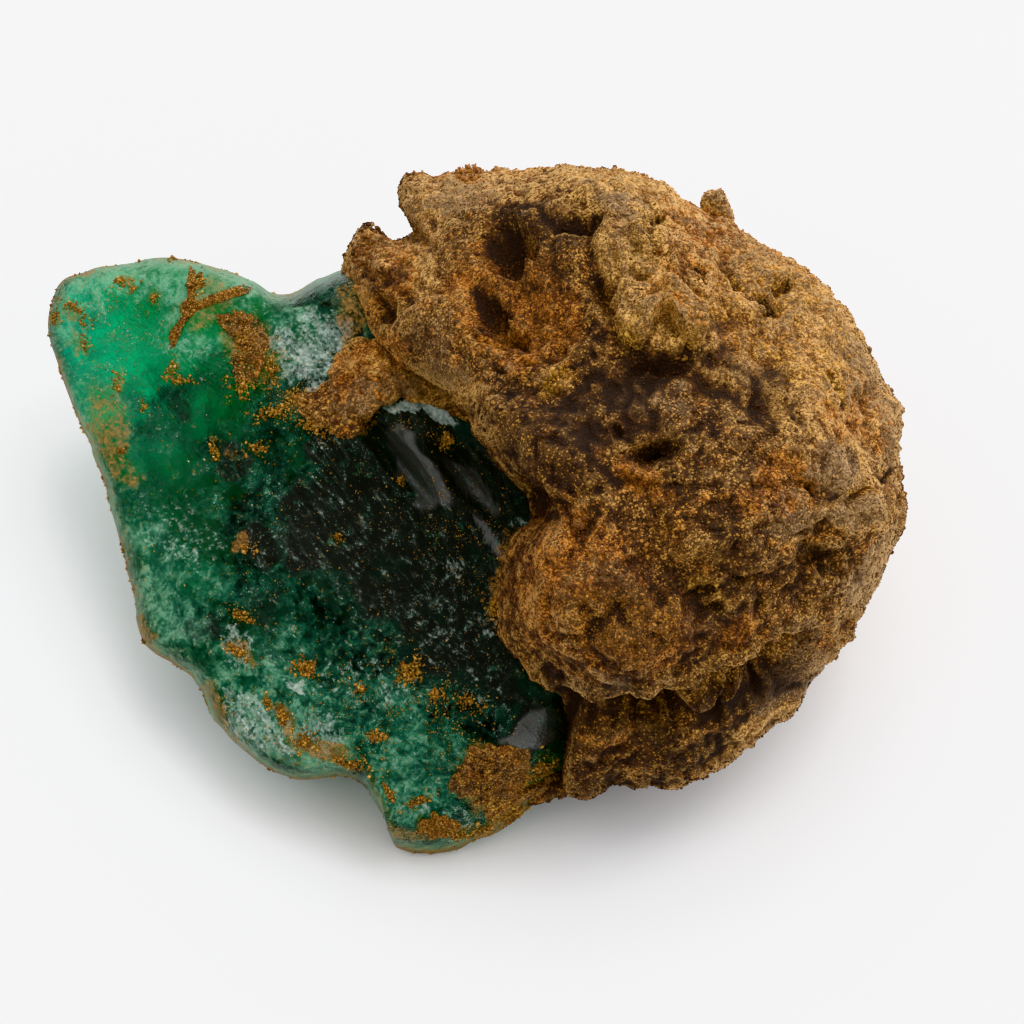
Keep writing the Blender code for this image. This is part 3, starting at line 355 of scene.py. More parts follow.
STAIN_ZONES = (
    (-31.8, 15.4, 2.4, 1.4, 70, 0.5), (-27.8, 6, 2, 4.8, 22, 0.85), (-31.2, 18.4, 3.6, 0.9, 12, 0.9),
    (-30.2, 15.2, 0.9, 1.4, 0, 0.9), (-32, 14.4, 0.6, 0.8, 0, 0.8), (-29.8, 12.4, 0.8, 1.4, 20, 0.6),
    (-26.6, 17.2, 0.8, 0.6, 0, 0.9), (-24.5, 16, 0.7, 0.7, 0, 0.6), (-20.4, 15.6, 3.2, 2.4, 35, 0.7),
    (-16.6, 12, 2.4, 3.6, 15, 0.7), (-10.5, 7.6, 4.6, 2, -12, 0.7), (-28.6, 5, 0.9, 4, 22, 0.9),
    (-27.3, 9.6, 0.7, 1.6, 0, 0.6), (-22.4, 9.8, 1, 0.4, 0, 0.8), (-26.7, 4.4, 0.7, 0.7, 0, 0.8),
    (-26.2, 2.2, 0.9, 0.9, 0, 0.8), (-19.4, 4.9, 0.6, 1.2, 20, 0.5), (-17.4, -3, 0.9, 0.7, 0, 0.9),
    (-17.6, -10.8, 2.2, 0.6, -45, 0.8), (-24.4, -10, 1, 4, 28, 0.9), (-18.3, -10.8, 1.4, 0.5, -40, 0.9),
    (-19.6, -15.6, 1, 3, 35, 0.8), (-14.4, -16.2, 2.6, 0.6, -60, 0.9), (-11.4, -18.2, 2.6, 0.8, -12, 1),
    (-4, -24.2, 3.6, 0.9, 8, 0.8), (-7.2, -21.5, 0.6, 3.2, 30, 0.6), (1.4, -20.4, 3.6, 3.2, -30, 0.8),
    (6.4, -20.9, 2.8, 0.8, 26, 0.9), (2.6, -23.2, 3.4, 1.4, 30, 0.95), (2.2, -5.5, 1.3, 4.5, -8, 0.9),
    (-9.4, 13.5, 1.5, 4.7, 2, 0.95),
)
# Painted reflection: grey laid on glossier fracture faces in the dark heart.
SHEEN_ZONES = (
    (-4.2, 2.9, 4, 1.7, -46, 1), (-0.2, 2.2, 3.4, 1.1, -50, 0.9), (1, -2.4, 5.2, 0.35, -58, 0.8),
    (4.9, -17.1, 3.3, 1.6, 14, 1), (-11.5, 16.2, 3.2, 1.2, 20, 0.5),
)

# Where the crystal is too thick and too clouded inside for light to come through.
DEEP_HEART = np.array((-7.0, -0.5))
DEEP_OUTLINE = (
    (-9.1, 17.8), (-12.3, 16), (-14.2, 13.5), (-15.1, 11), (-15.5, 8.6), (-16.2, 5.5), (-15.2, 3), (-16.6, 0),
    (-17.8, -3.9), (-18.6, -6.9), (-17.5, -9.9), (-14, -11.5), (-9.5, -11), (-5.9, -12), (-4, -13.8),
    (-2.6, -15.8), (-0.8, -18.4), (2, -19.6), (7, -20.5), (10, -14), (9.5, -5), (8, 3), (2, 9), (-4, 14),
)
DEEP_EDGE = (0.62, 1.08)  # shares of the way out to that outline over which it clears
DIM_ZONES = (  # where it is partly so: (a, b, half length, half width, turn, strength)
    (7.2, -16.6, 0.9, 2.2, 0, 1), (2.6, 0.8, 2.4, 3, 0, 1), (-14.8, -10.1, 2.5, 1.6, 69, 0.5),
    (-14.3, 9.6, 2.4, 1.9, -64, 0.5), (-18.2, 4.1, 1.8, 1.3, -8, 0.8), (-1.2, -9, 4.8, 2.4, 47, 1),
    (-22.5, 7.8, 1.9, 1.2, -17, 0.7), (-18.2, 3.7, 2.4, 1.7, -47, 0.8), (-20.8, -9.2, 1.6, 1.5, 7, 0.9),
    (-20.8, 8.8, 3.6, 2.4, -30, 0.35), (-24, 4.5, 5, 7, 15, 0.4), (-16.2, -2.9, 2.8, 1.9, 86, 1),
    (-20, -9.5, 2.6, 4, 30, 0.25), (4.6, -16.6, 4, 2.6, 40, 1), (-8, -13, 6, 3, -15, 0.4),
)
CLEAR_ZONES = (  # and where less so
    (-21.6, 2.2, 4.6, 1.8, -45, 0.6), (-14.3, 4.6, 3.6, 2.2, -64, 0.9), (-12, -8.6, 5.5, 4, -60, 0.8),
    (-8.8, -10.2, 3.6, 2, 10, 0.4),
)

# Clumps of loose soil on the crystal: (a, b, half length, half width, turn, grains).
SOIL_SPOTS = (
    (-12.9, -12.1, 1.2, 0.6, -15, 190), (-4.9, -12.4, 1.1, 0.9, 10, 190), (-3, -14.1, 0.5, 0.4, 0, 60),
    (-7.4, -17.3, 0.8, 0.5, 0, 90), (-8.6, -13.6, 0.5, 0.4, 0, 45), (-15.8, -14.6, 0.3, 0.6, 10, 50),
    (-14.6, -15.8, 0.5, 0.9, 15, 90), (-12.9, -17.6, 0.9, 0.8, -30, 140), (-9.6, -19.2, 1.8, 0.5, -15, 160),
    (-18, -10.8, 1.2, 0.4, -40, 120), (-17.6, -8.2, 1.1, 0.5, -35, 60), (-17.4, -3, 0.7, 0.4, 0, 40),
    (-10.4, -2.2, 0.4, 0.4, 0, 25), (-5.7, 2.1, 0.5, 0.4, 0, 30), (-2.1, 5.2, 0.7, 0.6, 0, 110),
    (-0.6, -14.6, 1.6, 0.8, -10, 70), (-20.9, 17.2, 0.5, 1.2, 0, 90), (-23, 10.6, 0.4, 0.9, -15, 60),
    (-27, 17.3, 0.5, 0.4, 0, 50), (-26, 16.8, 0.5, 0.5, 0, 20), (-24.4, 16, 0.4, 0.4, 0, 30),
    (-23, 19.3, 0.5, 0.35, 40, 60), (-30.5, 15.4, 0.9, 0.4, -20, 60), (-29.8, 14.4, 0.4, 0.8, 20, 40),
    (-32, 14.6, 0.4, 0.6, 0, 40), (-29.6, 12.4, 0.5, 0.8, 20, 30), (-27.2, 9.6, 0.4, 1.2, -10, 40),
    (-22.5, 9.8, 1, 0.3, 0, 50), (-25.2, 7.8, 0.4, 0.5, 0, 20), (-26.9, 4.4, 0.4, 0.4, 0, 30),
    (-19.8, 4.4, 0.4, 0.9, 20, 50), (-16.6, 4.6, 1.2, 0.7, 0, 60), (-15.2, 7.3, 1.6, 0.6, 10, 130),
    (-13.6, 8.4, 1, 0.6, 0, 120), (-17.6, 9.4, 0.9, 0.9, 0, 140), (-15.4, 10.6, 0.8, 1.6, 0, 110),
    (-12.4, 6.2, 1.6, 0.6, -20, 110), (-6.5, -21.6, 0.4, 1, 30, 50), (-4.4, -22.2, 1.2, 0.4, 25, 90),
    (-1.2, -24.6, 1.8, 0.5, 5, 110), (2.2, -5.4, 0.5, 1.4, 0, 60), (1.6, -7.6, 0.7, 1.2, 0, 90),
    (3, -23, 1.6, 0.7, 35, 120), (0.6, -24.2, 1.4, 0.6, 20, 100), (4.9, -19.8, 1.6, 0.9, 35, 260),
)
DUST_ZONES = (  # where single grains lie thinly on the crystal, with the share of them
    (-3.8, 6, 3.5, 1.2, -8, 1), (-10, -2, 30, 26, 0, 0.1), (-6, -15, 9, 6, -15, 0.8),
    (-15, -16.5, 6, 3.4, -30, 0.8), (-10, 9, 6, 4, 0, 0.8), (0, -2, 4, 9, 20, 0.5), (-27, 14, 6, 5, 0, 0.5),
    (4, -20.5, 4, 2, 0, 1),
)

# Sand: single grains' sizes, and how many sit on each piece.
GRAIN_SIZE = (0.045, 0.10)  # smallest and largest half size
GRAIN_SINK = 0.35  # share of a grain's half size that is sunk in what carries it
CRUMB_SIZE = (0.07, 0.24)
DUST_SIZE = (0.02, 0.08)  # the same on the crystal
DUST_CRUMB_SIZE = (0.06, 0.17)
SEAT_MARGIN = 0.15  # how far from the crystal the clod's grains keep
TABLE_GAP = 0.02  # how far the lowest grains keep above the table
BRIGHTEST_TONE = 0.965  # just short of clear quartz, so that only the crystal's dust has that
CRUMB_HEAPS = (  # loose crumbs piled on the clod: (a, b, spread, height, count)
    (-0.4, 25.6, 1, 0.7, 120), (-7.8, 21, 0.9, 0.6, 90), (-8.6, 19.2, 0.8, 0.3, 50), (10.6, 25.9, 0.3, 1, 14),
    (16.4, 13.1, 0.9, 0.3, 40), (6.3, 9.7, 1.3, 0.35, 130), (-1.9, 5.4, 0.9, 0.3, 50),
    (19.8, -9.6, 1.2, 0.3, 70), (5, 0.6, 1, 0.3, 40),
)


def cos_sin(degrees):
    """The cosine and sine of an angle in degrees."""
    return math.cos(math.radians(degrees)), math.sin(math.radians(degrees))


def face_axes():
    """The face frame's a, b and c directions in the row frame, as the rows of a matrix."""
    run, rise = cos_sin(FACE_SLOPE)
    return np.array([[1.0, 0.0, 0.0], [0.0, run, rise], [0.0, -rise, run]])


def face_to_row(points):
    """Face-frame millimetres to row-frame metres: the axes' turn, then the lift off the table."""
    lift = np.array([-FOOTPRINT_CENTRE[0], -FOOTPRINT_CENTRE[1], FACE_HEIGHT])
    return (points @ face_axes() + lift) * MM


def row_to_face(points):
    """The reverse: row-frame metres to face-frame millimetres."""
    lift = np.array([-FOOTPRINT_CENTRE[0], -FOOTPRINT_CENTRE[1], FACE_HEIGHT])
    return (points / MM - lift) @ face_axes().T


def seen(points):
    """Where the viewer sees face-frame points on the face's plane: their (a, b), drawn out from the aim."""
    return VIEW_AIM + (points[:, :2] - VIEW_AIM) * (VIEW_DISTANCE / (VIEW_DISTANCE - points[:, 2]))[:, None]


def unseen(ab):
    """The reverse on the crystal's front: the face point that the viewer sees at (a, b)."""
    return VIEW_AIM + (ab - VIEW_AIM) * ((VIEW_DISTANCE - crystal_front(ab)[0]) / VIEW_DISTANCE)[:, None]


def clipped(values):
    """Values held between 0 and 1."""
    return np.clip(values, 0.0, 1.0)


def lengths(rows):
    """The length of each row."""
    return np.linalg.norm(rows, axis=1)


def raised(ab, c=0.0):
    """Face-frame points at height c over each (a, b)."""
    return np.column_stack([ab, np.broadcast_to(c, len(ab))])


def smooth_step(low, high, value):
    """0 below low, 1 above high, and the S curve 3t^2 - 2t^3 between."""
    share = clipped((value - low) / (high - low))
    return share * share * (3.0 - 2.0 * share)


def closed_curve(points, share):
    """A Catmull-Rom curve once round the points: a cubic through each pair, at shares of the way round."""
    points = np.asarray(points, float)
    place = np.asarray(share) * len(points)
    first = np.floor(place).astype(int)
    t = (place - first)[:, None]
    p0, p1, p2, p3 = (points[(first + k) % len(points)] for k in (-1, 0, 1, 2))
    bend = 2.0 * p0 - 5.0 * p1 + 4.0 * p2 - p3
    return 0.5 * (2.0 * p1 + (p2 - p0) * t + bend * t**2 + (3.0 * p1 - p0 - 3.0 * p2 + p3) * t**3)


def value_noise(points, seed):
    """Smooth noise from -1 to 1: hashed values on a unit lattice, blended by a quintic S curve.

    The seed keeps the pattern of one use apart from the others'.
    """
    cell = np.floor(points).astype(np.int64)
    part = points - cell
    part = part**3 * (part * (part * 6.0 - 15.0) + 10.0)
    total = np.zeros(len(points))
    for corner in np.ndindex(2, 2, 2):
        mixed = (cell + np.array(corner)) @ np.array(SCRAMBLE[:3]) + seed * SCRAMBLE[3]
        mixed = mixed & 0xFFFFFFFF
        mixed = ((mixed ^ (mixed >> 13)) * SCRAMBLE[2]) & 0xFFFFFFFF
        value = ((mixed ^ (mixed >> 16)) & 0xFFFF) / 32767.5 - 1.0
        total += value * np.prod(np.where(np.array(corner) == 1, part, 1.0 - part), axis=1)
    return total


def octaves(points, heights, seed):
    """The sum of smooth noises, one for each size: height pair."""
    layers = [high * value_noise(points / size, seed + k) for k, (size, high) in enumerate(heights.items())]
    return np.sum(layers, axis=0)


def stray(points, heights, *seeds):
    """How far zones and relief stray from their places along a and b: one sum of noises for each seed."""
    return np.column_stack([octaves(points, heights, seed) for seed in seeds])


def clumps(points, heights, seed):
    """Round lumps with sharp creases between them: the size of each noise, less its average."""
    total = np.zeros(len(points))
    for k, (size, high) in enumerate(heights.items()):
        total += high * (2.0 * np.abs(value_noise(points / size, seed + k)) ** 0.8 - 0.75)
    return total


def stone_grid(cells):
    """Two square sheets, pressed round into discs and joined along their rim, wrap a stone front and back.

    Returns rho, 0 at a disc's middle and 1 at its rim, theta round it, which points are in front, and quads.
    """
    side = np.linspace(-1.0, 1.0, cells + 1)
    x, y = (grid.ravel() for grid in np.meshgrid(side, side, indexing="ij"))
    wide = np.abs(x) > np.abs(y)
    far = np.where(wide, x, y)
    near = np.where(wide, y, x)
    slant = 0.125 * TURN * np.divide(near, far, out=np.zeros_like(far), where=far != 0.0)
    theta = np.where(wide, slant, 0.25 * TURN - slant) + np.where(far < 0.0, 0.5 * TURN, 0.0)
    rho = np.abs(far)
    inner = rho < 1.0 - 0.5 / cells
    front = np.arange(x.size)
    back = front.copy()
    back[inner] = front.size + np.arange(inner.sum())
    sheets = []
    for sheet in (front, back):
        square = sheet.reshape(cells + 1, cells + 1)
        corners = [square[:-1, :-1], square[1:, :-1], square[1:, 1:], square[:-1, 1:]]
        sheets.append(np.stack(corners, axis=-1).reshape(-1, 4))
    quads = np.concatenate([sheets[0], sheets[1][:, ::-1]])
    in_front = np.arange(front.size + inner.sum()) < front.size
    return np.append(rho, rho[inner]), np.append(theta, theta[inner]) % TURN, in_front, quads


def bowl(ab, a, b, length, width, turn):
    """1 at the middle of a turned ellipse, falling as a paraboloid to 0 on its edge and below 0 outside."""
    cos, sin = cos_sin(turn)
    along = (ab[:, 0] - a) * cos + (ab[:, 1] - b) * sin
    across = (ab[:, 1] - b) * cos - (ab[:, 0] - a) * sin
    return 1.0 - (along / length) ** 2 - (across / width) ** 2


def dish_depth(ab, dishes):
    """How deep the deepest dish cuts at each point, with a crisp lip where dishes meet or end."""
    deepest = np.zeros(len(ab))
    for *place, depth in dishes.values():
        deepest = np.maximum(deepest, depth * bowl(ab, *place))
    return deepest


def relief_height(ab, features):
    """The sum of rounded lumps and pits: each is its height times an S curve of its bowl."""
    total = np.zeros(len(ab))
    for *place, height in features:
        total += height * smooth_step(0.0, 1.0, bowl(ab, *place))
    return total


def zone_share(ab, zones):
    """How strongly the zones hold at each point, from 0 to 1: the strongest of their soft ellipses."""
    strongest = np.zeros(len(ab))
    for *place, strength in zones:
        strongest = np.maximum(strongest, strength * smooth_step(0.0, 0.7, bowl(ab, *place)))
    return strongest


def rim_fall(b):
    """How far the emerald's mid-surface lies behind the face: level below the bend, and falling above it."""
    bend, ease = RIM_BEND
    return RIM_DROP * ease * np.logaddexp(0.0, (b - bend) / ease)


def emerald_rim(share):
    """The emerald's rim, (a, b): the smooth curve with small chips bitten out of it towards the heart."""
    rim = closed_curve(EMERALD_RIM, share)
    inward = EMERALD_HEART - rim
    inward /= lengths(inward)[:, None]
    bite = octaves(raised(rim), RIM_CHIPS, 40)
    return rim + inward * np.maximum(bite, -0.05)[:, None]


def hackle(ab):
    """Stepped ridges: noise drawn out along HACKLE_TURN and pressed into steps, where the zones ask."""
    cos, sin = cos_sin(HACKLE_TURN)
    along = (ab[:, 0] * cos + ab[:, 1] * sin) / HACKLE_SIZE[0]
    across = (ab[:, 1] * cos - ab[:, 0] * sin) / HACKLE_SIZE[1]
    field = HACKLE_STEPS * value_noise(np.column_stack([along, across, np.zeros(len(ab))]), 50)
    stepped = np.floor(field) + smooth_step(0.55, 1.0, field - np.floor(field))
    return HACKLE_HEIGHT * stepped / HACKLE_STEPS * zone_share(ab, HACKLE_ZONES)


def front_rise(ab):
    """The front's height over the mid-surface, before its blunt rim: the wedge less its dishes, and waves."""
    wedge = WEDGE_FRONT[0] + WEDGE_FRONT[1] * (ab[:, 0] - WEDGE_LEFT)
    return wedge - dish_depth(ab, FRONT_DISHES) + octaves(raised(ab), CRYSTAL_WAVES, 30) + hackle(ab)


def back_rise(ab):
    """The back's depth under the mid-surface, in the same way."""
    wedge = WEDGE_BACK[0] + WEDGE_BACK[1] * (ab[:, 0] - WEDGE_LEFT)
    return wedge - dish_depth(ab, BACK_DISHES) + octaves(raised(ab, 1.0), CRYSTAL_WAVES, 35)


def rim_share(from_rim, ab):
    """How much of its full thickness the crystal has: 1 - exp(-distance / rounding) in from the rim."""
    rounding = RIM_ROUNDING + BURIED_ROUNDING * smooth_step(*BURIED_SPAN, ab[:, 0])
    lobe = smooth_step(*LOBE_SPANS[0], ab[:, 0]) * (1.0 - smooth_step(*LOBE_SPANS[1], ab[:, 1]))
    return 1.0 - np.exp(-from_rim / (rounding + LOBE_ROUNDING * lobe))


def emerald_points(rho, theta, in_front):
    """The emerald's surface: its rim drawn in to the heart by rho, with a wedge's thickness front and back.

    The thickness rises from the rim over its blunt edge, and the underside flattens as it nears the table.
    """
    outward = emerald_rim(theta / TURN) - EMERALD_HEART
    ab = EMERALD_HEART + rho[:, None] * outward
    rise = rim_share((1.0 - rho) * lengths(outward), ab)
    c = np.where(in_front, front_rise(ab), -back_rise(ab)) * rise - rim_fall(ab[:, 1])
    points = raised(ab, c)
    axes = face_axes()
    height = points @ axes[:, 2] + FACE_HEIGHT
    eased = 0.5 * (height + np.hypot(height, 2.0 * TABLE_EASE))
    points[:, 2] += np.where(in_front & (rho < 1.0), 0.0, eased - height) / axes[2, 2]
    return points


def rho_of(ab):
    """Where face points lie on the way from the emerald's heart to its rim, and that way's length.

    The rim's directions from the heart rise steadily with the share of the way round, so they are looked up.
    """
    share = np.linspace(0.0, 1.0, RIM_STEPS)
    rim = emerald_rim(share % 1.0) - EMERALD_HEART
    angle = np.unwrap(np.arctan2(rim[:, 1], rim[:, 0]))
    offset = ab - EMERALD_HEART
    turned = (np.arctan2(offset[:, 1], offset[:, 0]) - angle[0]) % TURN + angle[0]
    reach = np.interp(turned, angle, lengths(rim))
    return lengths(offset) / reach, reach


def crystal_front(ab):
    """The height c of the emerald's front over each face point, and how far inside the rim the point is."""
    rho, reach = rho_of(ab)
    from_rim = (1.0 - rho) * reach
    rise = rim_share(np.maximum(from_rim, 0.0), ab)
    return front_rise(ab) * rise - rim_fall(ab[:, 1]), from_rim


def crystal_back(ab):
    """The height c of the emerald's back under each face point."""
    rho, reach = rho_of(ab)
    rise = rim_share(np.maximum((1.0 - rho) * reach, 0.0), ab)
    return -back_rise(ab) * rise - rim_fall(ab[:, 1])


def outline_radius(outline, heart, theta, blur=0.0):
    """How far the outline lies from the heart in each direction, averaged over blur degrees either way."""
    curve = closed_curve(outline, np.arange(0.0, 1.0, OUTLINE_STEP)) - heart
    turned = np.arctan2(curve[:, 1], curve[:, 0]) % TURN
    order = np.argsort(turned)
    turned = turned[order]
    reach = lengths(curve)[order]
    spread = math.radians(blur) * np.linspace(-1.0, 1.0, 9)
    return np.mean([np.interp(theta + turn, turned, reach, period=TURN) for turn in spread], axis=0)


def ball_radius(directions):
    """Distance from the crust's heart to a blunt ball, a superellipsoid, along row-frame directions."""
    share = np.abs(directions / CRUST_RADII) ** CRUST_BLUNTNESS
    return share.sum(axis=1) ** (-1.0 / CRUST_BLUNTNESS)


def directions_of(tilt, theta):
    """Face-frame unit vectors: tilt is the angle from the c axis, theta the angle round it."""
    return np.column_stack([np.sin(tilt) * np.cos(theta), np.sin(tilt) * np.sin(theta), np.cos(tilt)])


def shadow_radius(theta):
    """The bare ball's outline as seen square on to the face, looked up from a table round it."""
    around = np.linspace(0.0, TURN, BALL_STEPS[0])
    widest = np.zeros(len(around))
    for tilt in np.linspace(0.125, 0.375, BALL_STEPS[1]) * TURN:
        ways = directions_of(np.full(len(around), tilt), around) @ face_axes()
        widest = np.maximum(widest, ball_radius(ways) * math.sin(tilt))
    return np.interp(theta, around, widest)


def ledge_cut(ab):
    """How far the skirt is cut back below the ledge line: a sharp lip, then a gentler return."""
    line = np.array(LEDGE_LINE)
    below = np.interp(ab[:, 0], line[:, 0], line[:, 1]) - ab[:, 1]
    start, end, share = SKIRT_RETURN
    cut = smooth_step(*LEDGE_LIP, below) * (1.0 - share * smooth_step(start, end, below))
    ends = smooth_step(*line[:2, 0], ab[:, 0]) * (1.0 - smooth_step(*line[-2:, 0], ab[:, 0]))
    return LEDGE_DEPTH * cut * ends


def nose_height(ab):
    """The slab of the nose: its height grows down its ramp and drops at its outline."""
    offset = ab - NOSE_HEART
    reach = outline_radius(NOSE_OUTLINE, NOSE_HEART, np.arctan2(offset[:, 1], offset[:, 0]) % TURN)
    inside = 1.0 - smooth_step(*NOSE_EDGE, lengths(offset) / reach)
    return NOSE_HEIGHT * inside * smooth_step(-NOSE_RAMP[0], -NOSE_RAMP[1], -ab[:, 1])


def crumbly_share(ab):
    """How crumbly the soil is: fully in rusty zones, little where it is compact clay."""
    rough = 0.5 + 0.5 * zone_share(ab, RUST_ZONES) - 0.6 * zone_share(ab, CLAY_ZONES)
    return clipped(rough) * (1.0 - SMOOTH_SHARE) + SMOOTH_SHARE


def crust_points(rho, theta, in_front):
    """The crust's surface: the blunt ball, drawn sideways so that its outline meets CRUST_OUTLINE.

    The lumps, pits, ledge and clumps then move each point straight out from the heart or in towards it.
    """
    tilt = rho * 0.25 * TURN
    tilt = np.where(in_front, tilt, 0.5 * TURN - tilt)
    ways = directions_of(tilt, theta)
    offset = ways * ball_radius(ways @ face_axes())[:, None]
    heart, shadow = CRUST_HEART, shadow_radius(theta)
    share = np.hypot(offset[:, 0], offset[:, 1]) / shadow
    broad = outline_radius(CRUST_OUTLINE, heart[:2], theta, OUTLINE_BLUR)
    sharp = outline_radius(CRUST_OUTLINE, heart[:2], theta)
    drawn = (broad / shadow) ** smooth_step(0.0, 1.0, share) * (sharp / broad) ** share**OUTLINE_CLING
    offset[:, :2] *= drawn[:, None]
    ab = heart[:2] + offset[:, :2]
    spots = heart + offset
    grid = spots * (1.0, 1.0, NOISE_DEPTH)
    ragged = stray(grid, RELIEF_FRAY, 20, 25)
    front = relief_height(ab + 0.6 * ragged, CRUST_FRONT_RELIEF.values()) - ledge_cut(ab + ragged)
    front += relief_height(seen(spots) + ragged, CRUST_FINE_RELIEF) + nose_height(seen(spots) + 0.45 * ragged)
    relief = np.where(in_front, front, relief_height(ab, CRUST_BACK_RELIEF.values()))
    relief *= 1.0 - smooth_step(*RELIEF_FADE, share)
    relief += octaves(spots, CRUST_LUMPS, 0)
    uneven = clumps(grid, CLUMPS, 10) + octaves(grid + octaves(grid, CRUMB_BEND, 15)[:, None], CRUMBS, 12)
    relief += uneven * np.where(in_front, crumbly_share(ab), 0.7)
    reach = lengths(offset)
    points = heart + offset * ((reach + relief) / reach)[:, None]
    points[:, 2] -= CRUST_HUG * rim_fall(points[:, 1]) * (1.0 - smooth_step(*CRUST_HUG_SPAN, points[:, 0]))
    return points


def knob_points(rho, theta, in_front):
    """A small finger of soil standing up from the crust's upper right shoulder: a lumpy ellipsoid."""
    tilt = np.where(in_front, rho * 0.25, 0.5 - rho * 0.25) * TURN
    ways = directions_of(tilt, theta)
    uneven = 1.0 + 0.08 * value_noise(ways * 2.0, 60) + 0.04 * value_noise(ways * 5.0, 61)
    blunt = np.sum(np.abs(ways) ** 3, axis=1) ** (-1.0 / 3.0)
    offset = ways * KNOB_RADII * (blunt * uneven)[:, None]
    cos, sin = cos_sin(KNOB_TURN)
    turn = np.array([[cos, sin, 0.0], [-sin, cos, 0.0], [0.0, 0.0, 1.0]])
    return KNOB_CENTRE + offset @ turn


def patch_points(rho, theta, in_front, outline, thickness, middle):
    """A soil patch: its frayed outline drawn in to its middle by rho, swelling inwards over the crystal.

    Its underside lies PATCH_SINK inside the crystal, and its top has the soil's clumps.
    """
    rim = unseen(closed_curve(outline, theta / TURN))
    middle = unseen(np.array([middle]))[0]
    fray = octaves(raised(rim), PATCH_FRAY, 70) / lengths(rim - middle)
    ab = middle + (rho * (1.0 + np.maximum(fray, -0.6) * rho**3))[:, None] * (rim - middle)
    under = crystal_front(ab)[0]
    swell = PATCH_EDGE + (1.0 - PATCH_EDGE) * (1.0 - rho**2) ** 0.8
    lumps = octaves(raised(ab, under), PATCH_LUMPS, 75)
    top = np.maximum(thickness * swell + lumps, -0.5 * PATCH_SINK)
    return raised(ab, under - PATCH_SINK + np.where(in_front & (rho < 1.0), top + PATCH_SINK, 0.0))


def new_mesh(name, points, faces):
    """A row-frame mesh from face-frame points, its faces given as rows of three or four numbers."""
    mesh = bpy.data.meshes.new(name)
    corners = faces.shape[1]
    mesh.vertices.add(len(points))
    mesh.vertices.foreach_set("co", face_to_row(points).astype(np.float32).ravel())
    mesh.loops.add(faces.size)
    mesh.loops.foreach_set("vertex_index", faces.astype(np.int32).ravel())
    mesh.polygons.add(len(faces))
    mesh.polygons.foreach_set("loop_start", np.arange(0, faces.size, corners, dtype=np.int32))
    mesh.update(calc_edges=True)
    mesh.validate()
    return mesh


def mesh_points(mesh):
    """A mesh's points as an array of rows."""
    points = np.empty(3 * len(mesh.vertices), np.float32)
    mesh.vertices.foreach_get("co", points)
    return points.reshape(-1, 3).astype(float)


def hollowness(mesh, rounds=(10, 70), scale=(0.16, 0.9)):
    """How sunken each point is, from -1 to 1: how far it lies under the surface smoothed around it.

    Each round of smoothing moves every point to the average of its neighbours. The depths after a few and
    after many rounds, in millimetres and each over its scale, are added.
    """
    points = mesh_points(mesh)
    ends = np.empty(2 * len(mesh.edges), np.int32)
    mesh.edges.foreach_get("vertices", ends)
    one, other = ends.reshape(-1, 2).T
    normals = np.empty(3 * len(points), np.float32)
    mesh.vertices.foreach_get("normal", normals)
    normals = normals.reshape(-1, 3)
    count = np.maximum(np.bincount(np.append(one, other), minlength=len(points)), 1)[:, None]
    smooth = points.copy()
    total = np.zeros(len(points))
    for number in range(1, max(rounds) + 1):
        sums = [np.bincount(one, along[other], len(points)) + np.bincount(other, along[one], len(points))
                for along in smooth.T]
        smooth = np.column_stack(sums) / count
        if number in rounds:
            depth = np.sum((smooth - points) * normals, axis=1) / MM
            total += np.clip(depth / scale[rounds.index(number)], -1.0, 1.0)
    return np.clip(total, -1.0, 1.0)


def paint(mesh, **fields):
    """Stores each field, one value for each point, as an attribute that the material reads by name."""
    for name, values in fields.items():
        layer = mesh.attributes.new(name, "FLOAT", "POINT")
        layer.data.foreach_set("value", np.asarray(values, np.float32))


def show(name, mesh, material, slot, *nodes):
    """Links a mesh as a piece that rides on the body, and hides the solids of the nodes that it stands for.
    """
    mesh.materials.clear()
    mesh.materials.append(material)
    made = bpy.data.objects.new(name, mesh)
    bpy.context.scene.collection.objects.link(made)
    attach(made, BODY)
    if nodes:
        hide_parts(*nodes)
    return made


def combined(mesh, steps):
    """A mesh after cutting away or joining on other closed meshes, given as (operation, mesh) pairs."""
    for part in (mesh, *(tool for _, tool in steps)):
        if len(part.loops) != 2 * len(part.edges):
            raise RuntimeError(f"{part.name} is not closed")
    scene = bpy.context.scene.collection
    made = bpy.data.objects.new("work", mesh)
    scene.objects.link(made)
    tools = []
    for operation, tool_mesh in steps:
        tool = bpy.data.objects.new("tool", tool_mesh)
        scene.objects.link(tool)
        tools.append(tool)
        step = made.modifiers.new("step", "BOOLEAN")
        step.operation = operation
        step.solver = "MANIFOLD"
        step.object = tool
    bpy.context.view_layer.update()
    evaluated = made.evaluated_get(bpy.context.evaluated_depsgraph_get())
    result = bpy.data.meshes.new_from_object(evaluated)
    for used in (*tools, made):
        old = used.data
        bpy.data.objects.remove(used)
        bpy.data.meshes.remove(old)
    if not len(result.polygons):
        raise RuntimeError("a Boolean step left nothing of the crust")
    return result


def triangulated(mesh):
    """The same mesh with every face cut into triangles."""
    form = bmesh.new()
    form.from_mesh(mesh)
    bmesh.ops.triangulate(form, faces=form.faces)
    form.to_mesh(mesh)
    form.free()
    return mesh


def stone(name, cells, points_of, *measures):
    """A closed mesh of triangles, wrapped round a stone by the function that gives its points."""
    *grid, quads = stone_grid(cells)
    return triangulated(new_mesh(name, points_of(*grid, *measures), quads))


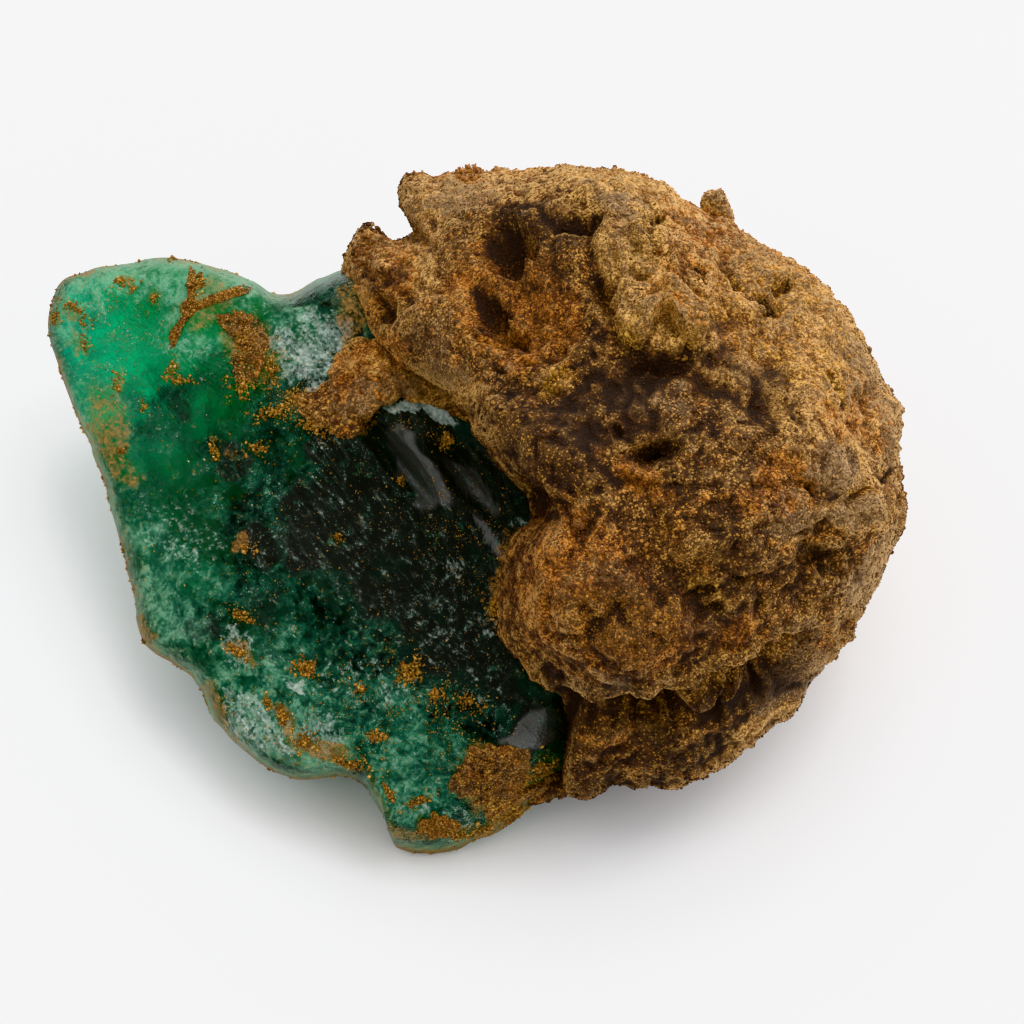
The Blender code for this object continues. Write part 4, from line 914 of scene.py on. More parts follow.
def table_block():
    """A block whose top is the table, z = 0, to cut the clod's foot flat."""
    corners = np.array(list(np.ndindex(2, 2, 2))) * (200.0, 200.0, 60.0) - (100.0, 100.0, 60.0)
    faces = [(0, 1, 3, 2), (4, 6, 7, 5), (0, 4, 5, 1), (2, 3, 7, 6), (0, 2, 6, 4), (1, 5, 7, 3)]
    return triangulated(new_mesh("table_block", row_to_face(corners), np.array(faces)))


class Value:
    """A value or colour in a shader. Python's + - * on it add Math nodes."""

    def __init__(self, finish, socket):
        self.finish = finish
        self.socket = socket

    def maths(self, operation, *values):
        """A Math node on values or numbers."""
        return self.finish.node("ShaderNodeMath", {"operation": operation}, *values)

    def __add__(self, other):
        return self.maths("ADD", self, other)

    __radd__ = __add__

    def __sub__(self, other):
        return self.maths("SUBTRACT", self, other)

    def __rsub__(self, other):
        return self.maths("SUBTRACT", other, self)

    def __mul__(self, other):
        return self.maths("MULTIPLY", self, other)

    __rmul__ = __mul__

    def highest(self, other):
        """The larger of the two."""
        return self.maths("MAXIMUM", self, other)

    def clipped(self):
        """The value held between 0 and 1."""
        node = self.maths("ADD", self, 0.0)
        node.socket.node.use_clamp = True
        return node

    def ramp(self, low, high):
        """0 where this is low or less, 1 where it is high or more, straight between."""
        limits = {"From Min": low, "From Max": high}
        return self.finish.node("ShaderNodeMapRange", {"clamp": True}, Value=self, **limits)


class Finish:
    """The node tree of a material or a world, written as Python expressions."""

    def __init__(self, owner, end="ShaderNodeOutputMaterial", where="Object"):
        owner.use_nodes = True
        self.owner = owner
        self.tree = owner.node_tree
        self.tree.nodes.clear()
        self.end = self.tree.nodes.new(end)
        self.where = self.node("ShaderNodeTexCoord", out=where)

    def feed(self, socket, value):
        """Links a value to a socket, or sets the socket's own number or colour."""
        if isinstance(value, Value):
            self.tree.links.new(value.socket, socket)
        else:
            socket.default_value = value

    def node(self, kind, settings=None, *values, out=0, **named):
        """One node: its settings are set first, then its sockets get values or links."""
        made = self.tree.nodes.new(kind)
        for name, setting in (settings or {}).items():
            setattr(made, name, setting)
        for key, value in [*enumerate(values), *named.items()]:
            self.feed(made.inputs[key], value)
        return Value(self, made.outputs[out])

    def field(self, name):
        """An attribute painted on the mesh."""
        return self.node("ShaderNodeAttribute", {"attribute_name": name}, out="Fac")

    def noise(self, size, detail=2.0, rough=0.5, seed=0.0, bend=0.0):
        """Smooth noise of a size in millimetres, from 0 to 1, its pattern bent by another noise."""
        return self.node("ShaderNodeTexNoise", {"noise_dimensions": "4D"}, Vector=self.where,
                         Scale=1.0 / (size * MM), Detail=detail, Roughness=rough, W=seed, Distortion=bend)

    def streaks(self, size, stretch, turn):
        """Noise drawn out along a direction on the face, turned from the a axis by an angle in degrees."""
        a, b, c = face_axes()
        cos, sin = cos_sin(turn)
        turned = Matrix((cos * a + sin * b, cos * b - sin * a, c)).transposed()
        along = self.node("ShaderNodeMapping", {"vector_type": "TEXTURE"}, Vector=self.where,
                          Rotation=turned.to_euler(), Scale=(stretch, 1.0, 1.0))
        return self.node("ShaderNodeTexNoise", None, Vector=along, Scale=1.0 / (size * MM), Detail=3.0,
                         Roughness=0.6)

    def cells(self, size, out="Distance"):
        """Cells of a size in millimetres: the distance to, or colour of, the nearest one's heart."""
        return self.node("ShaderNodeTexVoronoi", None, out=out, Vector=self.where, Scale=1.0 / (size * MM))

    def part(self, colour):
        """One number of a cell's random colour."""
        return self.node("ShaderNodeSeparateColor", None, colour)

    def stops(self, value, *stops):
        """A colour ramp from (place, colour) stops."""
        shade = self.node("ShaderNodeValToRGB", None, value, out="Color")
        ramp = shade.socket.node.color_ramp
        while len(ramp.elements) < len(stops):
            ramp.elements.new(1.0)
        for element, (place, colour) in zip(ramp.elements, stops):
            element.position = place
            element.color = (*colour, 1.0)
        return shade

    def mixed(self, share, first, second):
        """Two colours mixed: all the first where share is 0, all the second where it is 1."""
        made = self.node("ShaderNodeMix", {"data_type": "RGBA"}, share, out=2)
        for place, value in ((6, first), (7, second)):  # a Mix node's sockets for colours
            self.feed(made.socket.node.inputs[place], value if isinstance(value, Value) else (*value, 1.0))
        return made

    def bump(self, height, distance, strength=1.0, normal=None):
        """A bumped normal from a height field, for a distance in millimetres."""
        links = {"Height": height, "Distance": distance * MM, "Strength": strength}
        if normal is not None:
            links["Normal"] = normal
        return self.node("ShaderNodeBump", None, out="Normal", **links)

    def principled(self, colour, rough, normal=None, **constants):
        """A Principled shader; its named constants have a space where they have an underscore here."""
        links = {"Base Color": colour, "Roughness": rough}
        if normal is not None:
            links["Normal"] = normal
        links.update((name.replace("_", " "), value) for name, value in constants.items())
        return self.node("ShaderNodeBsdfPrincipled", None, out="BSDF", **links)

    def layered(self, share, below, above):
        """Two shaders mixed: all below where share is 0, all above where it is 1."""
        return self.node("ShaderNodeMixShader", None, share, below, above)

    def finish(self, surface, volume=None):
        """Joins the shaders to the tree's output."""
        self.tree.links.new(surface.socket, self.end.inputs["Surface"])
        if volume is not None:
            self.tree.links.new(volume.socket, self.end.inputs["Volume"])
        return self.owner


def soil_colour(f, tones, zones, low):
    """The soil's colour: sand of many tones over brown, rustier, greyer, paler or more golden by zone.

    Painted shade darkens it where the zones say so, in hollows, and where low, the height of the finest
    relief, is least.
    """
    rust, clay, pale, gold, shade, hollow = zones
    patchy = f.noise(2.0, 4.0, 0.62, 1.0)
    small = f.noise(0.5, 3.0, 0.65, 2.0)
    broad = f.noise(6.0, 2.0, 0.5, 3.0)
    pick = f.part(f.cells(tones.grain, out="Color"))
    speck = (pick + 2.1 * small - 1.07).clipped() * (1.0 - 0.75 * shade.ramp(0.6, 1.05))
    earth = f.stops(speck, (0.0, tones.dark), (0.4, tones.brown), (0.8, tones.ochre), (1.0, tones.straw))
    rusty = f.stops(speck, (0.0, tones.dark_rust), (0.5, tones.rust), (1.0, tones.orange))
    golden = f.stops(speck, (0.0, tones.brown), (0.5, tones.ochre), (1.0, tones.gold))
    loam = f.stops(speck * 0.6 + 0.4 * broad, (0.0, tones.dark_clay), (0.5, tones.clay),
                   (1.0, tones.pale_clay))
    tan = f.stops(speck, (0.0, tones.ochre), (0.4, tones.straw), (1.0, tones.pale))
    drift = 3.2 * (patchy - 0.5) + 1.6 * (small - 0.5)
    base = f.mixed((rust * 0.75 + drift).ramp(0.12, 0.60), earth, rusty)
    base = f.mixed((gold * 0.9 + drift).ramp(0.45, 0.85), base, golden)
    # Pale tan: dry soil, and painted light where the pale zones lie on the rims.
    base = f.mixed((pale - 0.4 * hollow - 0.5 * drift).ramp(0.2, 0.95) * 0.85, base, tan)
    muddy = 1.2 * clay - 0.4 * hollow - 0.6 * drift + 2.5 * (broad - 0.5)
    base = f.mixed(muddy.ramp(0.45, 1.0) * 0.75, base, loam)
    tint = f.noise(1.7, 3.0, 0.62, 11.3)
    base = f.mixed(tint.ramp(0.53, 0.63) * (0.15 + 0.55 * pale), base, golden)
    base = f.mixed((1.0 - tint.ramp(0.37, 0.47)) * (0.1 + 0.55 * pale), base, loam)
    # Painted shade in the finest relief's low places, which the bump alone leaves unshaded.
    crevice_shade = (1.0 - low.ramp(0.36, 0.47)) * (1.0 - 0.6 * clay - 0.75 * pale).clipped()
    # How much painted shade the soil gets: from the shade zones, less where it is pale, and in hollows and
    # crevices.
    dim = (shade * (1.0 + 1.6 * (patchy - 0.5)) - 0.4 * pale).clipped()
    dim = (dim + hollow * 0.5 + crevice_shade * 0.6).clipped()
    base = f.mixed(dim * 0.96, base, tones.shade)
    # Painted rim light: the soil paled where its surface turns away from the viewer, less where it is shaded.
    painted_rim_light = f.node("ShaderNodeLayerWeight", None, out="Facing", Blend=0.3).ramp(0.35, 0.9)
    base = f.mixed(painted_rim_light * (0.6 - 0.6 * dim), base, tones.pale)
    spark = pick.ramp(0.85, 0.91) * (0.8 - 0.5 * clay - 0.4 * pale - 1.1 * dim * dim).clipped()
    return f.mixed(spark, base, f.mixed(rust, tones.spark, tones.orange)), speck


def soil_finish(name, tones):
    """Matt, sandy soil: a bump for each grain and each small clump."""
    f = Finish(bpy.data.materials.new(name))
    zones = [f.field(zone) for zone in ("rust", "clay", "pale", "gold", "shade", "hollow")]
    _, clay, pale, *_ = zones
    low = f.noise(0.7, 4.0, 0.65, 4.0)
    colour, speck = soil_colour(f, tones, zones, low)
    grains = f.cells(tones.grain)
    height = (1.0 - grains) * (0.8 - 0.6 * clay) + (7.0 - 3.5 * pale.clipped()) * low
    normal = f.bump(height, tones.bump, 0.9)
    return f.finish(f.principled(colour, 0.97 - 0.12 * clay - 0.1 * speck, normal))


def sand_finish(name, tones):
    """Single grains: each has its own tone, from dark iron to clear quartz, and a little gloss."""
    f = Finish(bpy.data.materials.new(name))
    tone, rust = f.field("tone"), f.field("rust")
    plain = f.stops(tone, (0.0, tones.dark), (0.35, tones.brown), (0.75, tones.ochre), (0.96, tones.straw),
                    (1.0, tones.quartz))
    rusty = f.stops(tone, (0.0, tones.dark_rust), (0.5, tones.rust), (1.0, tones.orange))
    golden = f.stops(tone, (0.0, tones.dark_gold), (0.55, tones.dull_gold), (1.0, tones.gold))
    colour = f.mixed(f.field("gold"), f.mixed(rust, plain, rusty), golden)
    return f.finish(f.principled(colour, 0.85 - 0.3 * tone))


def beryl_finish(name, tones):
    """See-through green crystal that absorbs red most, under a weathered skin.

    Haze and frost are thin pale films with a fine grain, stain a brown one, and the bare faces are glassy.
    """
    f = Finish(bpy.data.materials.new(name))
    haze, frost, stain, sheen, deep = (f.field(zone) for zone in ("haze", "frost", "stain", "sheen", "deep"))
    cloud = f.noise(2.6, 6.0, 0.65, 5.0, 0.4)
    mottle = f.noise(0.8, 4.0, 0.65, 6.0, 0.9)
    grain = f.noise(0.24, 3.0, 0.7, 7.0)
    streak = f.streaks(0.45, 7.0, HACKLE_TURN)
    random = f.part(f.cells(0.36, out="Color"))
    fine = f.bump(f.noise(0.25, 3.0, 0.6, 8.0), 0.03, 0.7)
    waves = f.bump(f.noise(1.1, 3.0, 0.55, 9.0) + 0.9 * streak, 0.2, 0.9, fine)
    rough = 0.16 + 0.25 * (haze + 0.8 * (cloud - 0.5)).clipped()
    glass = f.principled((1.0, 1.0, 1.0, 1.0), rough, waves, IOR=BERYL_IOR, Transmission_Weight=1.0,
                         Specular_Tint=(0.1, 0.1, 0.1, 1.0))
    core = (deep * 1.5 + 1.6 * (cloud - 0.5) - 0.45).clipped()
    streaky = streak.ramp(0.5, 0.8) * 0.7 + 0.6 * (mottle - 0.42).clipped()
    heart_colour = f.mixed(streaky, f.mixed(core, tones.green_heart, tones.heart), tones.streak)
    dull = f.principled(heart_colour, 0.5, waves, Specular_IOR_Level=0.12)
    # The glossy faces of the heart, with grey painted on them as reflection.
    gloss = f.principled(f.mixed(streak.ramp(0.3, 0.6), tones.streak, tones.sheen), 0.35, waves, IOR=1.5)
    dark = f.layered(sheen.ramp(0.1, 0.6), dull, gloss)
    flecks = f.noise(0.13, 1.0, 0.5, 10.0)
    pallor = haze * 0.8 + 1.2 * (cloud - 0.5) + 1.8 * (mottle - 0.5) + 1.5 * (grain - 0.5) + 0.2
    milk_colour = f.stops(pallor, (0.0, tones.deep_milk), (0.5, tones.milk), (1.0, tones.pale_milk))
    milk_colour = f.mixed((stain * 1.1 + mottle - 0.5).clipped() * 0.8, milk_colour, tones.warm_milk)
    milk = f.principled(milk_colour, 0.6, waves)
    crumb = f.principled(f.mixed(grain.ramp(0.35, 0.65), tones.dark_stain, tones.stain), 0.9)
    dots = (flecks + 0.35 * (mottle - 0.5) + 0.25 * (cloud - 0.5) - 0.02 * deep).ramp(0.675, 0.72)
    bright = (2.2 * (grain - 0.5) + 1.6 * (streak - 0.5) + 0.5).clipped()
    frosty = f.mixed(bright, tones.dim_frost, tones.frost)
    white = f.principled(f.mixed(random.ramp(0.6, 0.65) * dots, frosty, tones.stain), 0.7)
    hidden = (deep * 1.6 + 2.6 * (cloud - 0.5) + 1.4 * (mottle - 0.5) - 0.25).clipped() * 0.95
    surface = f.layered(hidden, glass, dark)
    milky = (0.30 + haze * 0.6 + 1.8 * (cloud - 0.5) + 1.8 * (mottle - 0.5) - 0.5 * deep).clipped() * 0.75
    surface = f.layered(milky, surface, milk)
    bruised = frost * 0.9 + 1.6 * (grain - 0.5) + 1.4 * (mottle - 0.5) + 1.4 * (streak - 0.5)
    surface = f.layered((bruised.ramp(0.4, 1.1) * 0.78).highest(dots * 0.8), surface, white)
    stained = (stain * 0.8 + 1.8 * (grain - 0.5) + 2.0 * (mottle - 0.5)).ramp(0.42, 1.0) * 0.8
    surface = f.layered(stained, surface, crumb)
    volume = f.node("ShaderNodeVolumeAbsorption", None, Color=(*tones.body, 1.0), Density=tones.density / MM)
    return f.finish(surface, volume)


def swatch(name, description, *default):
    """A colour that the sidebar shows as a swatch."""
    return FloatVectorProperty(name=name, description=description, default=default, subtype="COLOR", size=3,
                               min=0.0, max=1.0)


class BerylSettings(PropertyGroup):
    cells: IntProperty(name="Grid Cells", description="Cells across each sheet of the crystal's surface",
                       default=208, min=24, max=222)
    body: swatch("Body Colour", "Light that the clear crystal lets through best", 0, 0.93, 0.85)
    density: FloatProperty(name="Depth of Colour", description="Absorption of red for each millimetre",
                           default=2.8, min=0.0, max=5.0)
    heart: swatch("Dark Heart", "Where the crystal is too thick to see through", 0.01, 0.011, 0.009)
    streak: swatch("Streaks", "Faint streaks in the dark heart", 0.06, 0.07, 0.058)
    green_heart: swatch("Green Heart", "Where the dark heart thins out", 0.01, 0.04, 0.024)
    # Painted reflection: the grey laid on the glossy faces of the heart, for the light that they reflect.
    sheen: swatch("Grey Faces", "Grey fracture faces in the heart", 0.075, 0.073, 0.07)
    deep_milk: swatch("Deep Haze", "Darkest haze", 0, 0.035, 0.016)
    milk: swatch("Haze", "Green haze on weathered faces", 0, 0.13, 0.062)
    pale_milk: swatch("Pale Haze", "Palest haze", 0.14, 0.37, 0.23)
    warm_milk: swatch("Warm Haze", "Haze beside stains", 0.15, 0.2, 0.06)
    frost: swatch("Frost", "Bruised white spots and chips", 0.42, 0.5, 0.44)
    dim_frost: swatch("Dim Frost", "The darkest of the bruised spots", 0.055, 0.085, 0.066)
    stain: swatch("Stain", "Iron stain along edges", 0.36, 0.17, 0.045)
    dark_stain: swatch("Dark Stain", "Darkest stain", 0.11, 0.06, 0.02)


class SoilSettings(PropertyGroup):
    cells: IntProperty(name="Grid Cells", description="Cells across each sheet of the clod's surface",
                       default=210, min=40, max=218)
    patch_cells: IntProperty(name="Patch Cells", description="Cells across each sheet of a soil patch",
                             default=48, min=7, max=100)
    grain: FloatProperty(name="Grain", description="Spacing of the sand grains, in millimetres",
                         default=0.12, min=0.05, max=1.0)
    bump: FloatProperty(name="Grain Relief", description="Height of the grains' bump, in millimetres",
                        default=0.08, min=0.0, max=0.5)
    dark: swatch("Dark Grains", "Iron-dark grains", 0.03, 0.014, 0.007)
    brown: swatch("Brown Grains", "The commonest grains", 0.08, 0.033, 0.013)
    ochre: swatch("Ochre Grains", "Paler grains", 0.17, 0.075, 0.023)
    straw: swatch("Straw Grains", "The palest common grains", 0.41, 0.23, 0.075)
    quartz: swatch("Quartz Grains", "Rare clear grains", 0.8, 0.72, 0.55)
    gold: swatch("Golden Grains", "Yellow crumbs", 0.7, 0.41, 0.09)
    dull_gold: swatch("Dull Gold", "Common grains of the yellow crumbs", 0.29, 0.14, 0.024)
    dark_gold: swatch("Dark Gold", "Darkest grains of the yellow crumbs", 0.09, 0.037, 0.005)
    dark_rust: swatch("Dark Rust", "Darkest rusty grains", 0.065, 0.022, 0.009)
    rust: swatch("Rust", "Rusty grains", 0.24, 0.085, 0.022)
    orange: swatch("Orange Grains", "Brightest rusty grains", 0.56, 0.22, 0.04)
    clay: swatch("Clay", "Compact grey-brown clay", 0.115, 0.068, 0.034)
    dark_clay: swatch("Dark Clay", "Clay where it is damp", 0.06, 0.034, 0.019)
    pale_clay: swatch("Pale Clay", "Clay where it is dry", 0.27, 0.175, 0.1)
    # Also painted as light on the clod's rims and grazing edges.
    pale: swatch("Pale Soil", "Dry tan soil on top", 0.8, 0.48, 0.17)
    spark: swatch("Bright Grains", "Scattered bright grains", 0.56, 0.29, 0.07)
    # Painted shade: the colour the soil is darkened to in hollows, pits and crevices, under the ledge and
    # over the middle.
    shade: swatch("Shaded Soil", "Purplish soil in hollows and under the ledge", 0.02, 0.0118, 0.0082)


class SandSettings(PropertyGroup):
    crust_count: IntProperty(name="Grains on the Clod", description="Single grains in each layer on the clod",
                             default=30000, min=0, max=48000)
    crumb_count: IntProperty(name="Crumbs on the Clod", description="Loose crumbs of soil on the clod",
                             default=8000, min=0, max=9900)
    dust_count: IntProperty(name="Dust on the Crystal", description="Single grains on the crystal",
                            default=5000, min=0, max=20000)


class StageSettings(PropertyGroup):
    floor_size: FloatProperty(name="Floor Size", description="Side of the square floor", default=6.0,
                              min=0.5, unit="LENGTH")
    floor_colour: swatch("Floor Colour", "Colour of the floor", 0.86, 0.86, 0.87)
    sky: FloatProperty(name="Sky Light", description="Strength of the white room all round", default=1.32,
                       min=0.0, max=5.0)
    lamp_power: FloatProperty(name="Lamp Power", description="Power of the large lamp above and behind",
                              default=2.6, min=0.0, unit="POWER")


class RawEmeraldSettings(PropertyGroup):
    beryl: PointerProperty(type=BerylSettings, name="Crystal", description="The crystal's sizes and colours")
    soil: PointerProperty(type=SoilSettings, name="Soil", description="The soil's sizes and colours")
    sand: PointerProperty(type=SandSettings, name="Sand", description="The loose grains")
    stage: PointerProperty(type=StageSettings, name="Stage", description="The floor and lights")


def settings():
    """The sizes and colours that the sidebar shows."""
    return bpy.context.scene.raw_emerald


def pit_shade(ab):
    """How dark the soil is in its steep pits, from 0 to 1."""
    # Painted shade in the pits, which their shape alone does not shade dark enough.
    darkest = np.zeros(len(ab))
    for *place, height in (*CRUST_FRONT_RELIEF.values(), *CRUST_FINE_RELIEF):
        steep = min((-height / min(place[2:4]) - DARK_PITS[0]) * DARK_PITS[1], 1.0)
        if steep > 0.0:
            darkest = np.maximum(darkest, steep * smooth_step(0.1, 0.9, bowl(ab, *place)))
    return darkest


def soil_zones(points):
    """The soil's zones at face-frame points: full in front, weak behind."""
    ab = seen(points)
    ahead = BEHIND_SHARE + (1.0 - BEHIND_SHARE) * smooth_step(*BEHIND_SPAN, points[:, 2])
    wander = stray(points, SOIL_STRAY, 80, 81)
    zones = {"rust": RUST_ZONES, "clay": CLAY_ZONES, "pale": PALE_ZONES, "gold": GOLD_ZONES,
             "shade": SHADE_ZONES}
    shares = {name: zone_share(ab + wander, zone) * ahead for name, zone in zones.items()}
    ragged = stray(points, PIT_STRAY, 85, 86)
    # The painted shade is taken off in the bright zones and made deeper in steep pits.
    shares["shade"] *= 1.0 - zone_share(ab + wander, BRIGHT_ZONES)
    shares["shade"] = np.maximum(shares["shade"], pit_shade(ab + 0.4 * wander + ragged) * ahead)
    for name, size, share, seed in (("rust", 6.0, 0.5, 82), ("clay", 5.0, 0.3, 83), ("pale", 8.0, 0.4, 84)):
        shares[name] += (1.0 - ahead) * clipped(share + value_noise(points / size, seed))
    return shares


def crystal_zones(rho, theta, in_front):
    """The crystal's skin zones on its grid: those of the face in front, and drifting patches behind."""
    points = emerald_points(rho, theta, in_front)
    from_rim = (1.0 - rho) * lengths(emerald_rim(theta / TURN) - EMERALD_HEART)
    ab = seen(points)
    flat = raised(points[:, :2], np.where(in_front, 0.0, 9.0))
    wander = stray(flat, SKIN_STRAY, 90, 100)
    zones = {"haze": HAZE_ZONES, "frost": FROST_ZONES, "stain": STAIN_ZONES, "sheen": SHEEN_ZONES}
    shares = {name: np.where(in_front, zone_share(ab + wander, zone), 0.0) for name, zone in zones.items()}
    drift = clipped(value_noise(flat / 5.0, 92))
    shares["haze"] = np.where(in_front, shares["haze"], 0.3 * drift - 0.4)
    edge = np.exp(-from_rim / EDGE_STAIN[0]) * clipped(0.35 + 0.9 * octaves(flat, EDGE_PATCHES, 93))
    fringe = np.where(in_front, 1.3 * edge + 0.5 * np.exp(-from_rim / EDGE_STAIN[1]), edge)
    shares["stain"] = np.maximum(shares["stain"], fringe)
    shares["haze"] = np.maximum(shares["haze"], 0.9 * np.exp(-from_rim / EDGE_HAZE))
    offset = ab + 1.5 * wander + stray(flat, DEEP_STRAY, 94, 95) - DEEP_HEART
    reach = outline_radius(DEEP_OUTLINE, DEEP_HEART, np.arctan2(offset[:, 1], offset[:, 0]) % TURN)
    deep = 1.0 - smooth_step(*DEEP_EDGE, lengths(offset) / reach)
    deep = np.maximum(deep, zone_share(ab + wander, DIM_ZONES))
    shares["deep"] = deep * (1.0 - zone_share(ab + wander, CLEAR_ZONES))
    return shares


class RAW_EMERALD_OT_crystal(Operator):
    """Builds the green crystal: its wedge with fracture dishes, stepped ridges and a weathered skin"""

    bl_idname = "raw_emerald.crystal"
    bl_label = "Build the Crystal"

    def execute(self, context):
        tones = settings().beryl
        rho, theta, in_front, quads = stone_grid(tones.cells)
        mesh = new_mesh("beryl_wedge", emerald_points(rho, theta, in_front), quads)
        mesh.shade_smooth()
        paint(mesh, **crystal_zones(rho, theta, in_front))
        show("beryl_wedge", mesh, beryl_finish("green_beryl_look", tones), "green_beryl", "emerald")
        return {"FINISHED"}


class RAW_EMERALD_OT_clod(Operator):
    """Builds the clod of soil: its lumps and pits, its flat foot, and the seat that the crystal lies in"""

    bl_idname = "raw_emerald.clod"
    bl_label = "Build the Clod"

    seat_cells = 90
    knob_cells = 24

    def execute(self, context):
        tones = settings().soil
        mesh = combined(stone("clod", tones.cells, crust_points), [
            ("UNION", stone("knob", self.knob_cells, knob_points)),
            ("DIFFERENCE", stone("seat", self.seat_cells, emerald_points)),
            ("UNION", stone("tongue", tones.patch_cells, patch_points, *SOIL_TONGUE)),
            ("UNION", stone("toe", tones.patch_cells, patch_points, *SOIL_TOE)),
            ("DIFFERENCE", table_block()),
        ])
        mesh.shade_smooth()
        paint(mesh, hollow=hollowness(mesh), **soil_zones(row_to_face(mesh_points(mesh))))
        show("soil_clod", mesh, soil_finish("brown_soil_look", tones), "brown_soil", "crust")
        return {"FINISHED"}


class RAW_EMERALD_OT_patches(Operator):
    """Builds the thin patches of soil that cling to the crystal"""

    bl_idname = "raw_emerald.patches"
    bl_label = "Build the Soil Patches"

    def execute(self, context):
        look = soil_finish("clinging_soil_look", settings().soil)
        rho, theta, in_front, quads = stone_grid(settings().soil.patch_cells)
        for node, patch in SOIL_PATCHES.items():
            points = patch_points(rho, theta, in_front, *patch)
            mesh = new_mesh(f"{node}_look", points, quads)
            mesh.shade_smooth()
            zones = soil_zones(points)
            for name, seed, share in (("rust", 87, 0.3), ("clay", 88, 0.45), ("gold", 89, 0.35)):
                zones[name] = clipped(share + 0.8 * value_noise(points / 1.1, seed))
            if node == "soil_vein":
                zones["gold"] = clipped(zones["gold"] + 0.5)
            paint(mesh, hollow=hollowness(mesh), **zones)
            show(f"{node}_look", mesh, look, "brown_soil", node)
        return {"FINISHED"}


def triangle_samples(mesh, count, rng, weight):
    """Random spots on a mesh, by area and weight: their face-frame places and normals."""
    mesh.calc_loop_triangles()
    corners = np.empty(3 * len(mesh.loop_triangles), np.int32)
    mesh.loop_triangles.foreach_get("vertices", corners)
    corners = row_to_face(mesh_points(mesh))[corners.reshape(-1, 3)]
    cross = np.cross(corners[:, 1] - corners[:, 0], corners[:, 2] - corners[:, 0])
    area = lengths(cross)
    chance = np.cumsum(area * weight(corners.mean(axis=1), cross / np.maximum(area, 1e-12)[:, None]))
    chosen = np.searchsorted(chance, rng.random(count) * chance[-1])
    u, v = rng.random((2, count))
    over = u + v > 1.0
    u, v = np.where(over, 1.0 - u, u), np.where(over, 1.0 - v, v)
    base, side, other = (corners[chosen, k] for k in range(3))
    spots = base + u[:, None] * (side - base) + v[:, None] * (other - base)
    return spots, cross[chosen] / area[chosen][:, None]


def many(name, grains, faces, **fields):
    """One mesh of many grains, each given as its corners, with one value of each field for each grain.

    A grain that would reach through the table is lifted above it.
    """
    up = face_axes()[:, 2]
    lowest = (grains @ up).min(axis=1) + FACE_HEIGHT
    grains = grains + np.maximum(TABLE_GAP - lowest, 0.0)[:, None, None] * up
    count, corners = grains.shape[:2]
    rows = (faces[None] + corners * np.arange(count)[:, None, None]).reshape(-1, 3)
    mesh = new_mesh(name, grains.reshape(-1, 3), rows)
    paint(mesh, **{field: np.repeat(values, corners) for field, values in fields.items()})
    return mesh


def grain_mesh(name, spots, normals, sizes, tones, rust, gold, rng):
    """Grains at spots: each a four-sided chip, turned at random, drawn out unevenly and partly sunk.

    A chip's corners are a regular tetrahedron's times a random turn, from four normal numbers, and sizes.
    """
    corners = np.array([[1.0, 1.0, 1.0], [1.0, -1.0, -1.0], [-1.0, 1.0, -1.0], [-1.0, -1.0, 1.0]]) * 0.75
    faces = np.array([[0, 1, 2], [0, 2, 3], [0, 3, 1], [1, 3, 2]])
    count = len(spots)
    turn = rng.normal(size=(4, count))
    w, x, y, z = turn / np.linalg.norm(turn, axis=0)
    turn = np.array([
        [1 - 2 * (y * y + z * z), 2 * (x * y - z * w), 2 * (x * z + y * w)],
        [2 * (x * y + z * w), 1 - 2 * (x * x + z * z), 2 * (y * z - x * w)],
        [2 * (x * z - y * w), 2 * (y * z + x * w), 1 - 2 * (x * x + y * y)],
    ]).transpose(2, 0, 1)
    stretch = sizes[:, None] * rng.uniform(0.7, 1.3, (count, 3))
    local = corners[None] * stretch[:, None, :]
    placed = np.einsum("nij,nkj->nki", turn, local)
    placed += (spots + normals * (sizes * (0.5 - GRAIN_SINK))[:, None])[:, None, :]
    return many(name, placed, faces, tone=tones, rust=rust, gold=gold)


def crumb_mesh(name, spots, sizes, tones, rust, gold, rng):
    """Crumbs at spots: icosahedra whose corners are pushed in and out at random, each turned its own way."""
    golden = 0.5 * (1.0 + math.sqrt(5.0))
    corners = np.array([(0.0, i, j * golden) for i in (-1.0, 1.0) for j in (-1.0, 1.0)])
    corners = np.concatenate([np.roll(corners, k, axis=1) for k in range(3)]) / math.hypot(1.0, golden)
    form = bmesh.new()
    for corner in corners:
        form.verts.new(corner)
    bmesh.ops.convex_hull(form, input=form.verts)
    faces = np.array([[corner.index for corner in face.verts] for face in form.faces])
    form.free()
    count = len(spots)
    turn = np.linalg.qr(rng.normal(size=(count, 3, 3)))[0]
    turn *= np.linalg.det(turn)[:, None, None]
    local = corners[None] * rng.uniform(0.5, 1.3, (count, 12, 1)) * rng.uniform(0.7, 1.3, (count, 1, 3))
    placed = np.einsum("nij,nkj->nki", turn, local) * sizes[:, None, None] + spots[:, None, :]
    return many(name, placed, faces, tone=tones, rust=rust, gold=gold)


def inside_crystal(points):
    """Which face-frame points lie within the crystal or its seat."""
    ab = points[:, :2]
    front, from_rim = crystal_front(ab)
    back = crystal_back(ab)
    return (from_rim > 0.0) & (points[:, 2] < front + SEAT_MARGIN) & (points[:, 2] > back - SEAT_MARGIN)


def bare(points, normals, steep):
    """Where no grain may sit on the clod: undersides past a steepness, and within the crystal."""
    return (normals @ face_axes()[:, 2] < steep) | inside_crystal(points)


def grain_sizes(rng, count, smallest, largest):
    """Grain half sizes, most of them near the smallest: the range times the square of a random number."""
    return smallest + (largest - smallest) * rng.random(count) ** 2


